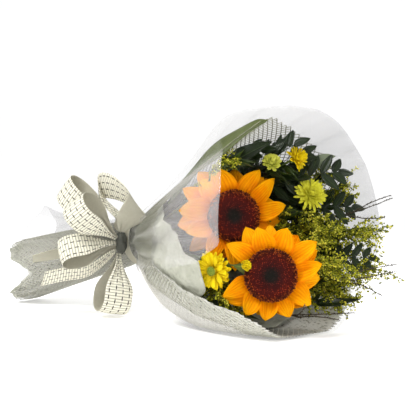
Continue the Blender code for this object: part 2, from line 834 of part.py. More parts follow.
def neck_spot(across, up, along):
    return place(along, across, up)


def bow_point(knot, right, up, out):
    return knot + BOW_RIGHT * right + BOW_UP * up + BOW_OUT * out


def bow_way(right, up, out):
    return (BOW_RIGHT * right + BOW_UP * up + BOW_OUT * out).normalized()


def ribbon(name, centres, sides, halves, material):
    """A flat ribbon through a line of points, with its crosswise direction and half width at each."""
    rows = [[c - s * h, c + s * h] for c, s, h in zip(centres, sides, halves)]
    points, faces = strip(rows)
    keep(name, *thicken(points, faces, RIBBON_THICK), material)


def ribbon_loop(name, root, out, opening, length, gape, material):
    """A loop that leaves the knot, turns over at its far end and comes back to the knot."""
    out = out.normalized()
    opening = (opening - out * opening.dot(out)).normalized()
    cross = out.cross(opening)
    centres, halves = [], []
    for i in range(LOOP_STEPS + 1):
        t = i / LOOP_STEPS
        reach = length * math.sin(math.pi * t) ** 0.9
        swing = gape * math.sin(math.tau * t) + RIBBON_THICK * 4 * (0.5 - t)
        centres.append(root + out * reach + opening * swing / 2)
        ease = min(1, min(t, 1 - t) / PINCH_SHARE)
        halves.append(RIBBON_WIDTH / 2 * (PINCHED + (1 - PINCHED) * ease * ease * (3 - 2 * ease)))
    ribbon(name, centres, [cross] * len(centres), halves, material)


def ribbon_run(name, spots, sides, count, looped, material):
    """A length of ribbon through a few spots, smoothed, drawn narrow where it enters the knot."""
    centres, crosses, halves = [], [], []
    for i in range(count):
        t = i / (count - 1) * (len(spots) - 1)
        k = min(int(t), len(spots) - 2)
        f = t - k
        p = [spots[max(k - 1, 0)], spots[k], spots[k + 1], spots[min(k + 2, len(spots) - 1)]]
        centres.append(0.5 * (2 * p[1] + (p[2] - p[0]) * f + (2 * p[0] - 5 * p[1] + 4 * p[2] - p[3]) * f * f
                              + (3 * p[1] - p[0] - 3 * p[2] + p[3]) * f**3))
        crosses.append(sides[k].lerp(sides[k + 1], f * f * (3 - 2 * f)).normalized())
        ease = min(1, min(i, count - 1 - i if looped else i) / PINCH_STEPS)
        halves.append(RIBBON_WIDTH / 2 * (PINCHED + (1 - PINCHED) * ease))
    ribbon(name, centres, crosses, halves, material)


def build():
    for old in list(bpy.data.objects):
        bpy.data.objects.remove(old)
    paints = {
        "film": paint("clear_film", (0.80, 0.80, 0.84), 0.15),
        "net": paint("sage_net", (0.52, 0.53, 0.42), 0.8),
        "paper": paint("sage_paper", (0.48, 0.50, 0.39), 0.85),
        "ribbon": paint("woven_ribbon", (0.72, 0.70, 0.57), 0.75),
        "petal": paint("sunflower_petal", (0.95, 0.40, 0.01), 0.55),
        "disc": paint("sunflower_disc", (0.07, 0.012, 0.008), 0.9),
        "lemon": paint("lemon_petal", (0.78, 0.76, 0.02), 0.55),
        "daisy": paint("yellow_petal", (0.93, 0.72, 0.01), 0.55),
        "lime": paint("lime_petal", (0.55, 0.60, 0.06), 0.55),
        "stem": paint("green_stem", (0.12, 0.20, 0.04), 0.6),
        "goldenrod": paint("goldenrod", (0.36, 0.34, 0.03), 0.8),
        "frond": paint("dark_frond", (0.015, 0.045, 0.012), 0.35),
        "olive": paint("olive_leaf", (0.13, 0.15, 0.055), 0.5),
        "grey": paint("grey_leaf", (0.16, 0.19, 0.12), 0.6),
        "twig": paint("dark_twig", (0.035, 0.03, 0.02), 0.8),
        "tie": paint("dark_tie", (0.08, 0.08, 0.07), 0.8),
    }

    head("sunflower_1", 200, -34, 16, (0.78, -0.62, 0.03), 0.0045)
    head("sunflower_2", 258, -42, -58, (0.76, -0.64, -0.08), 0.0045)
    head("mum_1", 208, -82, -46, (0.18, -0.97, -0.1), 0.002)
    head("mum_2", 252, -77, -44, (0.92, -0.25, 0.1), 0.0013)
    head("mum_3", 238, 2, 75, (0.75, -0.5, 0.4), 0.0017)
    head("mum_4", 248, 33, 78, (0.9, 0.25, 0.25), 0.002)
    head("mum_5", 258, 44, 33, (0.85, -0.45, 0.2), 0.002)
    head("frond_1", 212, 12, 66, (0.8, 0.3, 0.2), 0.0015)
    head("frond_2", 218, 18, 46, (0.8, 0.5, 0.1), 0.0015)
    head("frond_3", 230, 50, 14, (0.8, 0.6, -0.1), 0.0015)
    head("frond_4", 254, 52, -48, (0.9, 0.4, -0.1), 0.0015)
    head("leaf_olive_1", 80, -26, 50, (0.85, -0.2, 0.45), 0.0018)
    head("leaf_olive_2", 158, -24, 66, (0.85, -0.2, 0.4), 0.0016)
    head("leaf_grey", 230, 66, 66, (0.8, 0.4, 0.3), 0.0013)
    head("leaf_narrow", 248, 36, -98, (0.9, 0.2, -0.2), 0.0013)
    head("goldenrod_1", 258, 84, 38, (0.9, 0.35, 0.2), 0.0015)
    head("goldenrod_2", 298, 92, -14, (0.9, 0.3, 0.0), 0.0015)
    head("goldenrod_3", 290, 84, -58, (0.92, 0.25, -0.15), 0.0015)
    head("goldenrod_4", 276, 62, -92, (0.92, 0.1, -0.3), 0.0015)
    head("goldenrod_5", 268, 44, -12, (0.95, -0.1, 0.0), 0.0015)
    head("goldenrod_6", 286, 30, -50, (0.95, -0.1, -0.1), 0.0015)
    head("goldenrod_7", 204, -66, -84, (0.75, -0.5, -0.35), 0.0015)
    head("goldenrod_8", 208, -50, 80, (0.8, -0.35, 0.45), 0.0015)
    head("goldenrod_9", 250, 60, -14, (0.9, 0.2, 0.0), 0.0015)
    head("goldenrod_10", 268, 58, -66, (0.9, 0.1, -0.2), 0.0015)
    head("twig_1", 298, 72, 8, (0.95, 0.1, 0.1), 0.0011)
    head("twig_2", 298, 64, -70, (0.95, -0.1, -0.1), 0.0011)
    head("twig_3", 268, -8, -112, (0.95, -0.1, -0.1), 0.0011)
    slots = pack_stems()
    bunch = max(math.hypot(*slots[n]) + HEADS[n][4] for n in HEADS)
    neck["radius"] = bunch + TIE_THICK + 6 * GAP + PAPER_INSET + LAYER + PLEAT_DEPTH

    # The blooms
    sunflower("sunflower_1", None, 11, paints)
    sunflower("sunflower_2", 166, 12, paints)
    mum("mum_1", 0.0255, 0.0062, ((10, 4, 1.0), (8, 24, 0.95)), 21, paints["daisy"])
    centre = head_frame("mum_1")
    button = lathe(centre, ((0.0042, 0.0066), (0.0052, 0.0082), (0.0035, 0.0102)), 8)
    keep("mum_1_centre", *button, paints["lime"])
    mum("mum_2", 0.0085, 0.0046, ((5, 35, 1.0), (3, 68, 0.95)), 22, paints["daisy"])
    mum("mum_3", 0.0125, 0.0058, ((6, 20, 1.0), (5, 52, 0.92)), 23, paints["lime"])
    mum("mum_4", 0.0165, 0.0058, ((8, 10, 1.0), (5, 42, 0.9)), 24, paints["daisy"])
    mum("mum_5", 0.0225, 0.0068, ((10, 6, 1.0), (8, 30, 0.9), (5, 58, 0.72)), 25, paints["lemon"])

    # Their stems
    sunflower_stem("sunflower_1", slots, 31, paints)
    sunflower_stem("sunflower_2", slots, 32, paints)
    for name in ("mum_1", "mum_2", "mum_3", "mum_4", "mum_5"):
        mum_stem(name, slots, paints)

    # Leaves and fronds
    olive_line = [wrap_point(h, a, inset) for h, a, inset in
                  ((0.080, 121, 0.013), (0.118, 120, 0.012), (0.158, 119, 0.010), (0.198, 118, 0.010),
                   (0.238, 116, 0.010), (0.268, 114, 0.010), (0.286, 113, 0.010))]
    leaf("leaf_olive_1", slots, olive_line, (0.002, 0.012, 0.016, 0.017, 0.014, 0.008, 0),
         (0, -0.4, 0.9), 0.0008, paints["olive"])
    inner_line = [place(h / 1000, s / 1000, v / 1000) for h, s, v in
                  ((158, -24, 66), (183, -22, 78), (208, -18, 88), (230, -12, 95), (250, -6, 100))]
    leaf("leaf_olive_2", slots, inner_line, (0.002, 0.011, 0.013, 0.009, 0), (0.3, -0.8, 0.5), 0.0008,
         paints["olive"])
    grey_line = [place(h / 1000, s / 1000, v / 1000) for h, s, v in
                 ((230, 66, 66), (246, 70, 72), (262, 74, 76), (276, 78, 78))]
    leaf("leaf_grey", slots, grey_line, (0.0015, 0.008, 0.0075, 0), (0.4, -0.8, 0.4), 0.0006, paints["grey"])
    narrow_line = [place(h / 1000, s / 1000, v / 1000) for h, s, v in
                   ((248, 36, -98), (268, 42, -99), (288, 50, -99), (308, 58, -98))]
    leaf("leaf_narrow", slots, narrow_line, (0.0015, 0.006, 0.0055, 0), (0.2, -0.7, 0.7), 0.0006,
         paints["frond"])
    frond("frond_1", slots, (268, 26, 98), (0.4, -0.7, 0.5), 5, 0.028, 0.0105, paints["frond"])
    frond("frond_2", slots, (290, 84, 56), (0.4, -0.7, 0.5), 6, 0.028, 0.0105, paints["frond"])
    frond("frond_3", slots, (290, 98, 12), (0.5, -0.7, 0.4), 5, 0.025, 0.0095, paints["frond"])
    frond("frond_4", slots, (313, 92, -52), (0.5, -0.7, 0.4), 5, 0.020, 0.0080, paints["frond"])

    # Goldenrod, twigs
    for number, shoots, reach, lean in (
        (1, 7, 0.042, (0.3, 0.6, 0.3)), (2, 7, 0.044, (0.3, 0.2, -0.9)), (3, 7, 0.042, (0.4, 0.2, -0.8)),
        (4, 7, 0.038, (0.5, -0.1, -0.5)), (5, 7, 0.042, (0.8, -0.3, 0.3)), (6, 7, 0.042, (0.8, -0.4, -0.2)),
        (7, 6, 0.032, (0.5, -0.4, -0.3)), (8, 6, 0.032, (0.3, -0.3, 0.7)),
        (9, 7, 0.042, (0.5, -0.3, 0.3)), (10, 7, 0.042, (0.5, -0.3, -0.3)),
    ):
        goldenrod("goldenrod_" + str(number), slots, shoots, reach, 40 + number, lean, paints["goldenrod"])
    twig("twig_1", slots, ((0.2, (358, 75, 18)), (0.6, (360, 60, -8)), (1, (346, 88, 22))), 54,
         paints["twig"])
    twig("twig_2", slots, ((0.3, (383, 40, -60)), (0.7, (373, 46, -68)), (1, (340, 60, -96))), 52,
         paints["twig"])
    twig("twig_3", slots, ((0.2, (298, -30, -92)), (0.6, (320, 30, -112)), (1, (314, 8, -118))), 53,
         paints["twig"])

    # The tie round the stems, then the sheets round it all
    band("stem_tie", neck_spot, bunch + 4 * GAP, TIE_THICK, TIE_WIDTH, TIE_SIDES, paints["tie"])
    sheet_wall("film_wrap", FILM_RIM, FILM_TAIL_RIM, 0, paints["film"], film=True)
    outer_sheet.append(placed[-1])
    net_wall("net_wrap", NET_INSET + LAYER / 2, paints["net"])
    sheet_wall("paper_wrap", PAPER_RIM, TAIL_RIM, PAPER_INSET, paints["paper"])

    # The bow on the neck
    band_radius = wrap_reach(0, 0)[0] + 6 * GAP
    corner = band_radius / math.cos(math.pi / BAND_SIDES)
    knot = TIE - FAR * (corner + RIBBON_THICK + GAP + KNOT_RADIUS)
    band("ribbon_band", neck_spot, corner, RIBBON_THICK, BAND_WIDTH, BAND_SIDES, paints["ribbon"])

    def knot_spot(x, y, z):
        return bow_point(knot, y, z, x)

    keep("ribbon_knot", *lathe(knot_spot, KNOT_OUTLINE, 8), paints["ribbon"])
    loops = (
        ("ribbon_loop_1", (-0.0064, 0.006, 0.0046), (-0.70, 0.62, 0.35), (-0.35, -0.25, 0.9), 0.076, 0.034),
        ("ribbon_loop_2", (-0.0076, 0.006, -0.003), (-0.72, 0.70, -0.30), (-0.3, -0.3, 0.9), 0.100, 0.026),
        ("ribbon_loop_4", (-0.0070, -0.001, 0.002), (-0.97, -0.18, 0.15), (0, 0.7, 0.7), 0.074, 0.024),
        ("ribbon_loop_5", (-0.003, -0.0142, 0.002), (-0.14, -1.0, 0.14), (0.42, 0.05, 0.9), 0.078, 0.040),
    )
    for name, root, out, opening, length, gape in loops:
        ribbon_loop(name, bow_point(knot, *root), bow_way(*out), bow_way(*opening), length, gape,
                    paints["ribbon"])
    runs = (
        ("ribbon_loop_3", 17, True, (
            ((-0.0014, 0.0142, 0.0020), (0.9, 0, 0.4)), ((-0.013, 0.044, -0.002), (-0.5, 0.3, 0.8)),
            ((-0.030, 0.071, -0.003), (-0.1, 0.6, 0.8)), ((-0.008, 0.075, 0.018), (-0.35, 0.82, 0.45)),
            ((0.022, 0.054, 0.034), (-0.45, 0.7, 0.55)), ((0.013, 0.034, 0.033), (-0.1, 0.7, 0.7)),
            ((0.0016, 0.0142, 0.0056), (-0.9, 0, 0.4)))),
        ("ribbon_tail_1", 9, False, (
            ((-0.0062, -0.0064, -0.0036), (0, 1, 0.3)), ((-0.050, -0.012, -0.026), (0, 0.6, 0.8)),
            ((-0.090, -0.019, -0.036), (0.1, 0.45, 0.88)), ((-0.121, -0.026, -0.040), (0.1, 0.35, 0.93)))),
        ("ribbon_tail_2", 9, False, (
            ((-0.0076, -0.0112, -0.002), (0.2, 0.9, 0.3)), ((-0.043, -0.038, -0.014), (0.1, 0.5, 0.85)),
            ((-0.075, -0.043, -0.012), (0.15, 0.58, 0.8)), ((-0.104, -0.049, -0.008), (0.25, 0.58, 0.77)))),
    )
    for name, count, looped, spots in runs:
        ribbon_run(name, [bow_point(knot, *p) for p, _ in spots], [bow_way(*q) for _, q in spots], count,
                   looped, paints["ribbon"])
    centre_on_box()


def centre_on_box():
    """Moves the bouquet so that the middle of its box is over the origin and it lies on z = 0."""
    bpy.context.view_layer.update()
    graph = bpy.context.evaluated_depsgraph_get()
    corners = []
    for made in bpy.data.objects:
        seen = made.evaluated_get(graph).to_mesh()
        corners += [v.co.copy() for v in seen.vertices]
    low = [min(c[i] for c in corners) for i in range(3)]
    high = [max(c[i] for c in corners) for i in range(3)]
    shift = Vector((-(low[0] + high[0]) / 2, -(low[1] + high[1]) / 2, -low[2]))
    for made in bpy.data.objects:
        made.data.transform(Matrix.Translation(shift))


build()
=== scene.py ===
import itertools
import math
import random

import bpy
import numpy as np
from mathutils import Matrix, Vector, noise
from mathutils.bvhtree import BVHTree


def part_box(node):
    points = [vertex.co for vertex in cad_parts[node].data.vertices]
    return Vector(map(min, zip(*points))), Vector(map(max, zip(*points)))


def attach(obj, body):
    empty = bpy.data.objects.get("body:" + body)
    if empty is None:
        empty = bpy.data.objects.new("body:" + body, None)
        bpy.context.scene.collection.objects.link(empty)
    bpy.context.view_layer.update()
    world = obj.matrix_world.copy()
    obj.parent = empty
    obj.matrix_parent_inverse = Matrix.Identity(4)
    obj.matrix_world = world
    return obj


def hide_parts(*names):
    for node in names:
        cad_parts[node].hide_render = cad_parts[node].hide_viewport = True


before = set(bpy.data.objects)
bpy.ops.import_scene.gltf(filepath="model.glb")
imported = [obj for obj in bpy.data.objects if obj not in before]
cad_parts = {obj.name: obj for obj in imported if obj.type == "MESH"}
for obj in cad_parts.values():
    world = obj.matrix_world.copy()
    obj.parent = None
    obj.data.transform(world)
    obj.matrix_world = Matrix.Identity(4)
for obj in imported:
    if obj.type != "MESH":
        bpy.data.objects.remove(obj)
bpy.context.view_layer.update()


# The stems
# Fresh-cut stems run from every flower down through the tie and spread again to their cut ends. They
# are green, finely ribbed and slightly hairy, and each widens into the cup that holds its bloom.

def tint(*levels):
    """A colour in a paint chart's numbers, as the light that it sends back."""
    return tuple(c / 255 / 12.92 if c <= 10 else ((c / 255 + 0.055) / 1.055) ** 2.4 for c in levels)


class Reading:
    """A value that a finish works out at each point of a surface, with sums written as sums."""

    def __init__(self, finish, socket):
        self.finish = finish
        self.socket = socket

    def __rsub__(self, other):
        return self.finish.sum("SUBTRACT", other, self)


for sign, operation in (("__add__", "ADD"), ("__radd__", "ADD"), ("__sub__", "SUBTRACT"),
                        ("__mul__", "MULTIPLY"), ("__rmul__", "MULTIPLY"), ("__truediv__", "DIVIDE"),
                        ("__abs__", "ABSOLUTE"), ("fraction", "FRACT"), ("wave", "SINE")):
    setattr(Reading, sign, lambda first, second=0.0, operation=operation: first.finish.sum(
        operation, first, second))


class Finish:
    """A material of this bouquet, with plain values set at once and patterns linked by paint."""

    def __init__(self, name, **plain):
        self.material = bpy.data.materials.new(name)
        self.material.use_nodes = True
        self.tree = self.material.node_tree
        self.shader = self.tree.nodes["Principled BSDF"]
        self.paint({key.replace("_", " "): value for key, value in plain.items()})

    def node(self, kind, settings=(), sockets=(), out=0):
        made = self.tree.nodes.new("ShaderNode" + kind)
        for key, value in dict(settings).items():
            setattr(made, key, value)
        for key, value in dict(sockets).items():
            self.feed(made, key, value)
        shown = [socket for socket in made.outputs if socket.enabled]
        found = shown[out] if isinstance(out, int) else next(s for s in shown if s.name == out)
        return Reading(self, found)

    def feed(self, made, key, value):
        if isinstance(key, int):
            socket = made.inputs[key]
        else:
            socket = next(s for s in made.inputs if s.name.lower() == key.lower() and s.enabled)
        if isinstance(value, Reading):
            self.tree.links.new(value.socket, socket)
        elif socket.type == "RGBA" and len(value) == 3:
            socket.default_value = (*value, 1)
        else:
            socket.default_value = value

    def paint(self, sockets):
        for key, value in sockets.items():
            self.feed(self.shader, key, value)
        return self

    def blend(self, share, first, second):
        """Paints the surface with a mix of two colours."""
        return self.paint({"Base Color": self.between(share, first, second)})

    def ramp(self, share, *stops):
        """The colour at this share along a row of places, each with its tint."""
        found = self.node("ValToRGB", {}, {"Fac": share})
        row = found.socket.node.color_ramp.elements
        while len(row) < len(stops):
            row.new(0.5)
        for element, (place, *levels) in zip(row, stops):
            element.position = place
            element.color = (*tint(*levels), 1)
        return found

    def sum(self, operation, first, second=0.0):
        return self.node("Math", {"operation": operation}, {0: first, 1: second})

    def held(self, value):
        """The value, kept from 0 to 1."""
        return self.node("Clamp", {}, {"Value": value, "Min": 0.0, "Max": 1.0})

    def between(self, share, first, second):
        return self.node("Mix", {"data_type": "RGBA"}, {"Factor": share, "A": first, "B": second})

    def where(self, stretch=(1, 1, 1), turn=(0, 0, 0)):
        spot = self.node("TexCoord", {}, {}, "Object")
        return self.node("Mapping", {}, {"Vector": spot, "Scale": stretch, "Rotation": turn})

    def clouds(self, scale, detail=3.0, where=None):
        return self.node("TexNoise", {}, {"Vector": where or self.where(), "Scale": scale, "Detail": detail})

    def map(self):
        """The piece's own map: across and along."""
        parts = self.node("TexCoord", {}, {}, "UV")
        return tuple(self.node("SeparateXYZ", {}, {"Vector": parts}, k) for k in (0, 1))

    def mark(self, name):
        return self.node("Attribute", {"attribute_name": name}, {}, "Fac")

    def relief(self, height, depth):
        bump = self.node("Bump", {}, {"Height": height, "Distance": depth, "Strength": 1.0})
        return self.paint({"Normal": bump})


AXIS_LEAN = math.radians(8)
AXIS = Vector((math.cos(AXIS_LEAN), 0, math.sin(AXIS_LEAN)))
FAR = Vector((0, 1, 0))
UP = Vector((-math.sin(AXIS_LEAN), 0, math.cos(AXIS_LEAN)))
tie_low, tie_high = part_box("stem_tie")
TIE = (tie_low + tie_high) / 2
TAIL_LENGTH = 0.225
TAIL_SWAY = 0.037
TAIL_DROOP = 0.0245


def tail_drift(along):
    """How far the tail has swayed and drooped, from 0 at the tie to 1 at its end."""
    return max(0.0, -along / TAIL_LENGTH) ** 1.3


def at(along, across, up):
    """The point this far along the bouquet from its tie, across to the far side and up, in
    millimetres."""
    drift = tail_drift(along / 1000)
    return (TIE + AXIS * along / 1000 + FAR * (across / 1000 - TAIL_SWAY * drift)
            + UP * (up / 1000 - TAIL_DROOP * drift))


def aim(along, across, up):
    return (AXIS * along + FAR * across + UP * up).normalized()


def carry(finish, *nodes):
    """Gives a finish to parts of the frame that show as they are."""
    for name in nodes:
        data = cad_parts[name].data
        data.materials.clear()
        data.materials.append(finish.material)


stem_green = Finish("fresh_stem", roughness=0.55, specular_ior_level=0.35)
rib = stem_green.clouds(900, 2, stem_green.where((0.08, 1, 1)))
stem_green.blend(stem_green.clouds(60), tint(70, 92, 34), tint(124, 142, 66)).relief(rib, 0.0004)
SUNFLOWERS = ["sunflower_1", "sunflower_2"]
MUMS = ["mum_%d" % number for number in range(1, 6)]
carry(stem_green, *(name + "_stem" for name in SUNFLOWERS + MUMS))


# The tie
# A turn of dark waxed twine draws all the stems together at the neck. It is wound by hand before
# the papers go on, and only the sheets over it show.

twine = Finish("waxed_twine", roughness=0.75)
strands = twine.node("TexWave", {"bands_direction": "X"},
                     {"Vector": twine.where(), "Scale": 260.0, "Distortion": 1.5})
twine.blend(strands, tint(52, 50, 44), tint(96, 92, 80)).relief(strands, 0.0003)
carry(twine, "stem_tie")


# The sunflower discs
# Each sunflower's middle is a low dome of hundreds of tiny florets set in spirals: maroon and bristly
# round the outside where they are open, and near black and tight at the centre.

HEADS = {  # each bloom's place and the way it faces
    "sunflower_1": ((200, -34, 16), (0.78, -0.62, 0.03)),
    "sunflower_2": ((258, -42, -58), (0.76, -0.64, -0.08)),
    "mum_1": ((208, -82, -46), (0.18, -0.97, -0.1)), "mum_2": ((252, -77, -44), (0.92, -0.25, 0.1)),
    "mum_3": ((238, 2, 75), (0.75, -0.5, 0.4)), "mum_4": ((248, 33, 78), (0.9, 0.25, 0.25)),
    "mum_5": ((258, 44, 33), (0.85, -0.45, 0.2)),
}
GOLDEN_TURN = math.radians(137.508)
DISC_OUTLINE = ((0, 0.8), (14, 0.8), (22.5, 0.8), (28.6, 6.2), (30.2, 8.2), (27.8, 10.2), (24.5, 11.4),
                (20, 12.0), (15.5, 12.0), (11, 11.4), (7, 10.4), (3.5, 9.6), (0, 9.3))
DISC_REACH = 0.031
DISC_FLORETS = 1100
FLORET_SEAT = 0.0006
MERGE_GAP = 0.00001


def head_frame(name):
    """A function from a head's own right, up and outward measures, in metres, to a point."""
    centre, facing = at(*HEADS[name][0]), aim(*HEADS[name][1])
    right = UP.cross(facing).normalized()
    over = facing.cross(right)
    return lambda x, y, z: centre + right * x + over * y + facing * z


def placed(made):
    """Adds a new object to the bouquet."""
    bpy.context.scene.collection.objects.link(made)
    return made


def copied(piece):
    made = piece.copy()
    made.data = piece.data.copy()
    return placed(made)


def built(name, points, faces):
    """An object from its points and faces."""
    mesh = bpy.data.meshes.new(name)
    mesh.from_pydata(points, [], faces)
    return placed(bpy.data.objects.new(name, mesh))


def named(piece, name):
    piece.name = piece.data.name = name
    return piece


def marked(piece, **marks):
    """Gives each point of a piece named values that a finish reads."""
    for name, values in marks.items():
        piece.data.attributes.new(name, "FLOAT", "POINT").data.foreach_set("value", values)
    return piece


def picked(*parts):
    """Makes these the only parts that the next step works on."""
    bpy.ops.object.select_all(action="DESELECT")
    for part in parts:
        part.select_set(True)
    bpy.context.view_layer.objects.active = parts[0]
    return parts[0]


def joined(name, parts):
    """One object from several, its points where they were."""
    whole = picked(*parts)
    if len(parts) > 1:
        bpy.ops.object.join()
    return named(whole, name)


def worked(piece, *steps):
    """A piece after steps that each work on its whole surface."""
    picked(piece)
    bpy.ops.object.mode_set(mode="EDIT")
    bpy.ops.mesh.select_all(action="SELECT")
    for step in steps:
        step()
    bpy.ops.object.mode_set(mode="OBJECT")
    return piece


def merge():
    bpy.ops.mesh.remove_doubles(threshold=MERGE_GAP)


def sealed(piece):
    """Merges the points that meet and turns every face outwards."""
    return worked(piece, merge, lambda: bpy.ops.mesh.normals_make_consistent(inside=False))


def cut_across(piece, point, way, **cleared):
    """Cuts a piece across at a point, clears away one side and closes the cut."""
    return worked(piece, lambda: bpy.ops.mesh.bisect(plane_co=point, plane_no=way, use_fill=True, **cleared))


def thickened(piece, thickness, second_finish=False):
    """Gives a sheet its thickness, half to each side."""
    picked(piece)
    wall = piece.modifiers.new("wall", "SOLIDIFY")
    wall.thickness, wall.offset, wall.material_offset = thickness, 0, int(second_finish)
    bpy.ops.object.modifier_apply(modifier=wall.name)
    return piece


def plain_form(kind, **measures):
    """A plain form whose points hold its place."""
    bpy.ops.object.select_all(action="DESELECT")
    getattr(bpy.ops.mesh, "primitive_%s_add" % kind)(**measures)
    bpy.ops.object.transform_apply(location=True)
    return bpy.context.object


blanks = {}


def shaped(across, along, where):
    """A sheet of squares with a map of its own, each point moved to where its two measures, from 0 to
    1, put it."""
    if (across, along) not in blanks:
        blanks[across, along] = plain_form("grid", x_subdivisions=across, y_subdivisions=along, size=1,
                                           location=(0.5, 0.5, 0))
    made = copied(blanks[across, along])
    for point in made.data.vertices:
        point.co = where(point.co.x, point.co.y)
    return made


def finished(piece, finishes, *nodes, smooth=True):
    """A piece with its finishes, smooth, riding with the bouquet and standing for parts of the frame."""
    if not piece.data.materials:
        for finish in finishes:
            piece.data.materials.append(finish.material)
    for face in piece.data.polygons:
        face.use_smooth = smooth
    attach(piece, "root")
    if nodes:
        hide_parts(*nodes)
    return piece


def scattered(name, bud, spots, seed):
    """One mesh of many copies of a bud. A spot is a root, a direction, a turn, a width and a length."""
    draw = random.Random(seed)
    shape = np.array([tuple(v.co) for v in bud.data.vertices])
    cells = [tuple(face.vertices) for face in bud.data.polygons]
    points, faces, tones = [], [], []
    for number, (root, ahead, turn, width, length) in enumerate(spots):
        turned = ahead.to_track_quat("Z", "Y").to_matrix() @ Matrix.Rotation(turn, 3, "Z")
        points.append((shape * (width, width, length)) @ np.array(turned).T + np.array(root))
        base = number * len(shape)
        faces += [tuple(base + i for i in cell) for cell in cells]
        tones += [draw.random()] * len(shape)
    return marked(built(name, np.concatenate(points).tolist(), faces), tone=tones)


def bud_shape(sides, waist, tip):
    """A bud one unit long and one across its waist: a cone below, a lip, and a dimple on top."""
    made = plain_form("cone", vertices=sides, radius1=0.12, radius2=0.5, depth=waist,
                      location=(0, 0, waist / 2))
    bpy.ops.object.mode_set(mode="EDIT")
    bpy.ops.mesh.select_all(action="DESELECT")
    bpy.ops.object.mode_set(mode="OBJECT")
    for face in made.data.polygons:
        face.select = face.center.z > waist * 0.9
    bpy.ops.object.mode_set(mode="EDIT")
    bpy.ops.mesh.extrude_region_move(TRANSFORM_OT_translate={"value": (0, 0, 1 - waist)})
    bpy.ops.transform.resize(value=(tip, tip, 1))
    bpy.ops.mesh.poke(offset=-0.1)
    bpy.ops.object.mode_set(mode="OBJECT")
    return made


def put_away(*things):
    for thing in things:
        bpy.data.objects.remove(thing)


def between(values, share):
    """A smooth value, number or vector, between the values of an evenly spaced list."""
    t = min(max(share, 0.0), 1.0) * (len(values) - 1)
    k = min(int(t), len(values) - 2)
    f = t - k
    a, b, c, d = (values[min(max(k + i, 0), len(values) - 1)] for i in (-1, 0, 1, 2))
    return 0.5 * (2 * b + (c - a) * f + (2 * a - 5 * b + 4 * c - d) * f * f + (3 * b - a - 3 * c + d) * f**3)


def outline_at(outline, share):
    """A smooth point on an outline of radius and height in millimetres, from 0 at its start to 1."""
    radius, height = (between([place[i] for place in outline], share) for i in (0, 1))
    return max(radius, 0.0) / 1000, height / 1000


def round_head(spot, turn, out, aside, height):
    """A point this far out from a head's middle and aside, turned to its place in the ring."""
    return spot(out * math.cos(turn) - aside * math.sin(turn), out * math.sin(turn) + aside * math.cos(turn),
                height)


def turned_form(spot, outline, seat=0.0):
    """An outline turned all the way round a head's middle, for a sheet to be shaped to."""
    def where(u, v):
        radius, height = outline_at(outline, v)
        return spot(radius * math.cos(math.tau * u), radius * math.sin(math.tau * u), height - seat)

    return where


disc_brown = Finish("disc_florets", roughness=0.8, specular_ior_level=0.2)
radial, speck = disc_brown.mark("reach"), disc_brown.mark("tone")
low = disc_brown.ramp(radial, (0, 26, 26, 20), (0.22, 30, 22, 18), (0.40, 58, 14, 10), (0.75, 80, 18, 10),
                      (1, 64, 20, 8))
high = disc_brown.ramp(radial, (0, 60, 58, 50), (0.22, 70, 46, 38), (0.42, 150, 40, 24), (0.75, 206, 74, 32),
                       (1, 210, 110, 36))
disc_brown.blend(speck * speck * speck, low, high)
floret = bud_shape(5, 0.55, 0.8)

for number, name in enumerate(SUNFLOWERS):
    spot = head_frame(name)
    centre = spot(0, 0, 0.009)
    body = sealed(shaped(40, 30, turned_form(spot, DISC_OUTLINE, FLORET_SEAT)))
    marked(body, tone=[0.1] * len(body.data.vertices))
    spots = []
    draw = random.Random(70 + number)
    for k in range(DISC_FLORETS):
        share = math.sqrt((k + 0.5) / DISC_FLORETS)
        turn = GOLDEN_TURN * k
        along = 1 - share * 0.76
        radius, height = outline_at(DISC_OUTLINE, along)
        after, higher = outline_at(DISC_OUTLINE, along - 0.01)
        slope = Vector((higher - height, after - radius)).normalized()
        out = Vector((math.cos(turn), math.sin(turn)))
        lean = 0.25 + 0.2 * share**4 + draw.uniform(-0.25, 0.25)
        outward = lean * 0.6 - slope.x
        ahead = (spot(out.x * outward, out.y * outward, slope.y + 0.4) - spot(0, 0, 0)).normalized()
        wide = 0.0010 + 0.0006 * share
        long = (0.0012 + 0.0028 * max(0.0, share - 0.36)) * draw.uniform(0.7, 1.35)
        radius *= 1 - 0.07 * share**6
        spots.append((spot(out.x * radius, out.y * radius, height - FLORET_SEAT), ahead, turn, wide, long))
    florets = scattered(name + "_florets", floret, spots, 80 + number)
    piece = joined(name + "_disc_fine", [body, florets])
    marked(piece, reach=[min(1.0, (v.co - centre).length / DISC_REACH) for v in piece.data.vertices])
    finished(piece, [disc_brown], name + "_disc")


# The sunflower petals
# Two rings of broad golden petals stand round each disc, the front ring rising and the back one lying
# lower. Each is pointed, softly grooved along its length, and cupped or curled in its own way.

RAYS = 11
RAY_START = 0.024
GAP_HALF_ANGLE = 21
PETAL_THICK = 0.0005
PETAL_RINGS = {  # the gap's angle, a seed, a stretch, and by how much and where the petals are longer
    "sunflower_1": (None, 11, 1.08, 0.10, 190, 50),
    "sunflower_2": (166, 12, 1.03, -0.22, 262, 45),
}

petal_gold = Finish("sunflower_petal", roughness=0.6, specular_ior_level=0.05)
across, along = petal_gold.map()
groove = ((across * 44).wave() * 0.5 + 0.5) * ((across * 97 + along * 3).wave() * 0.25 + 0.75)
gold = petal_gold.ramp(along * 0.75 + petal_gold.clouds(80, 3) * 0.7 - 0.22, (0, 204, 70, 0),
                       (0.3, 240, 122, 0), (0.6, 255, 162, 0), (1, 255, 190, 8))
petal_gold.blend(groove * 0.38, gold, tint(214, 92, 0))
petal_gold.relief(groove * 0.6 + petal_gold.clouds(700, 2) * 0.4, 0.0007)

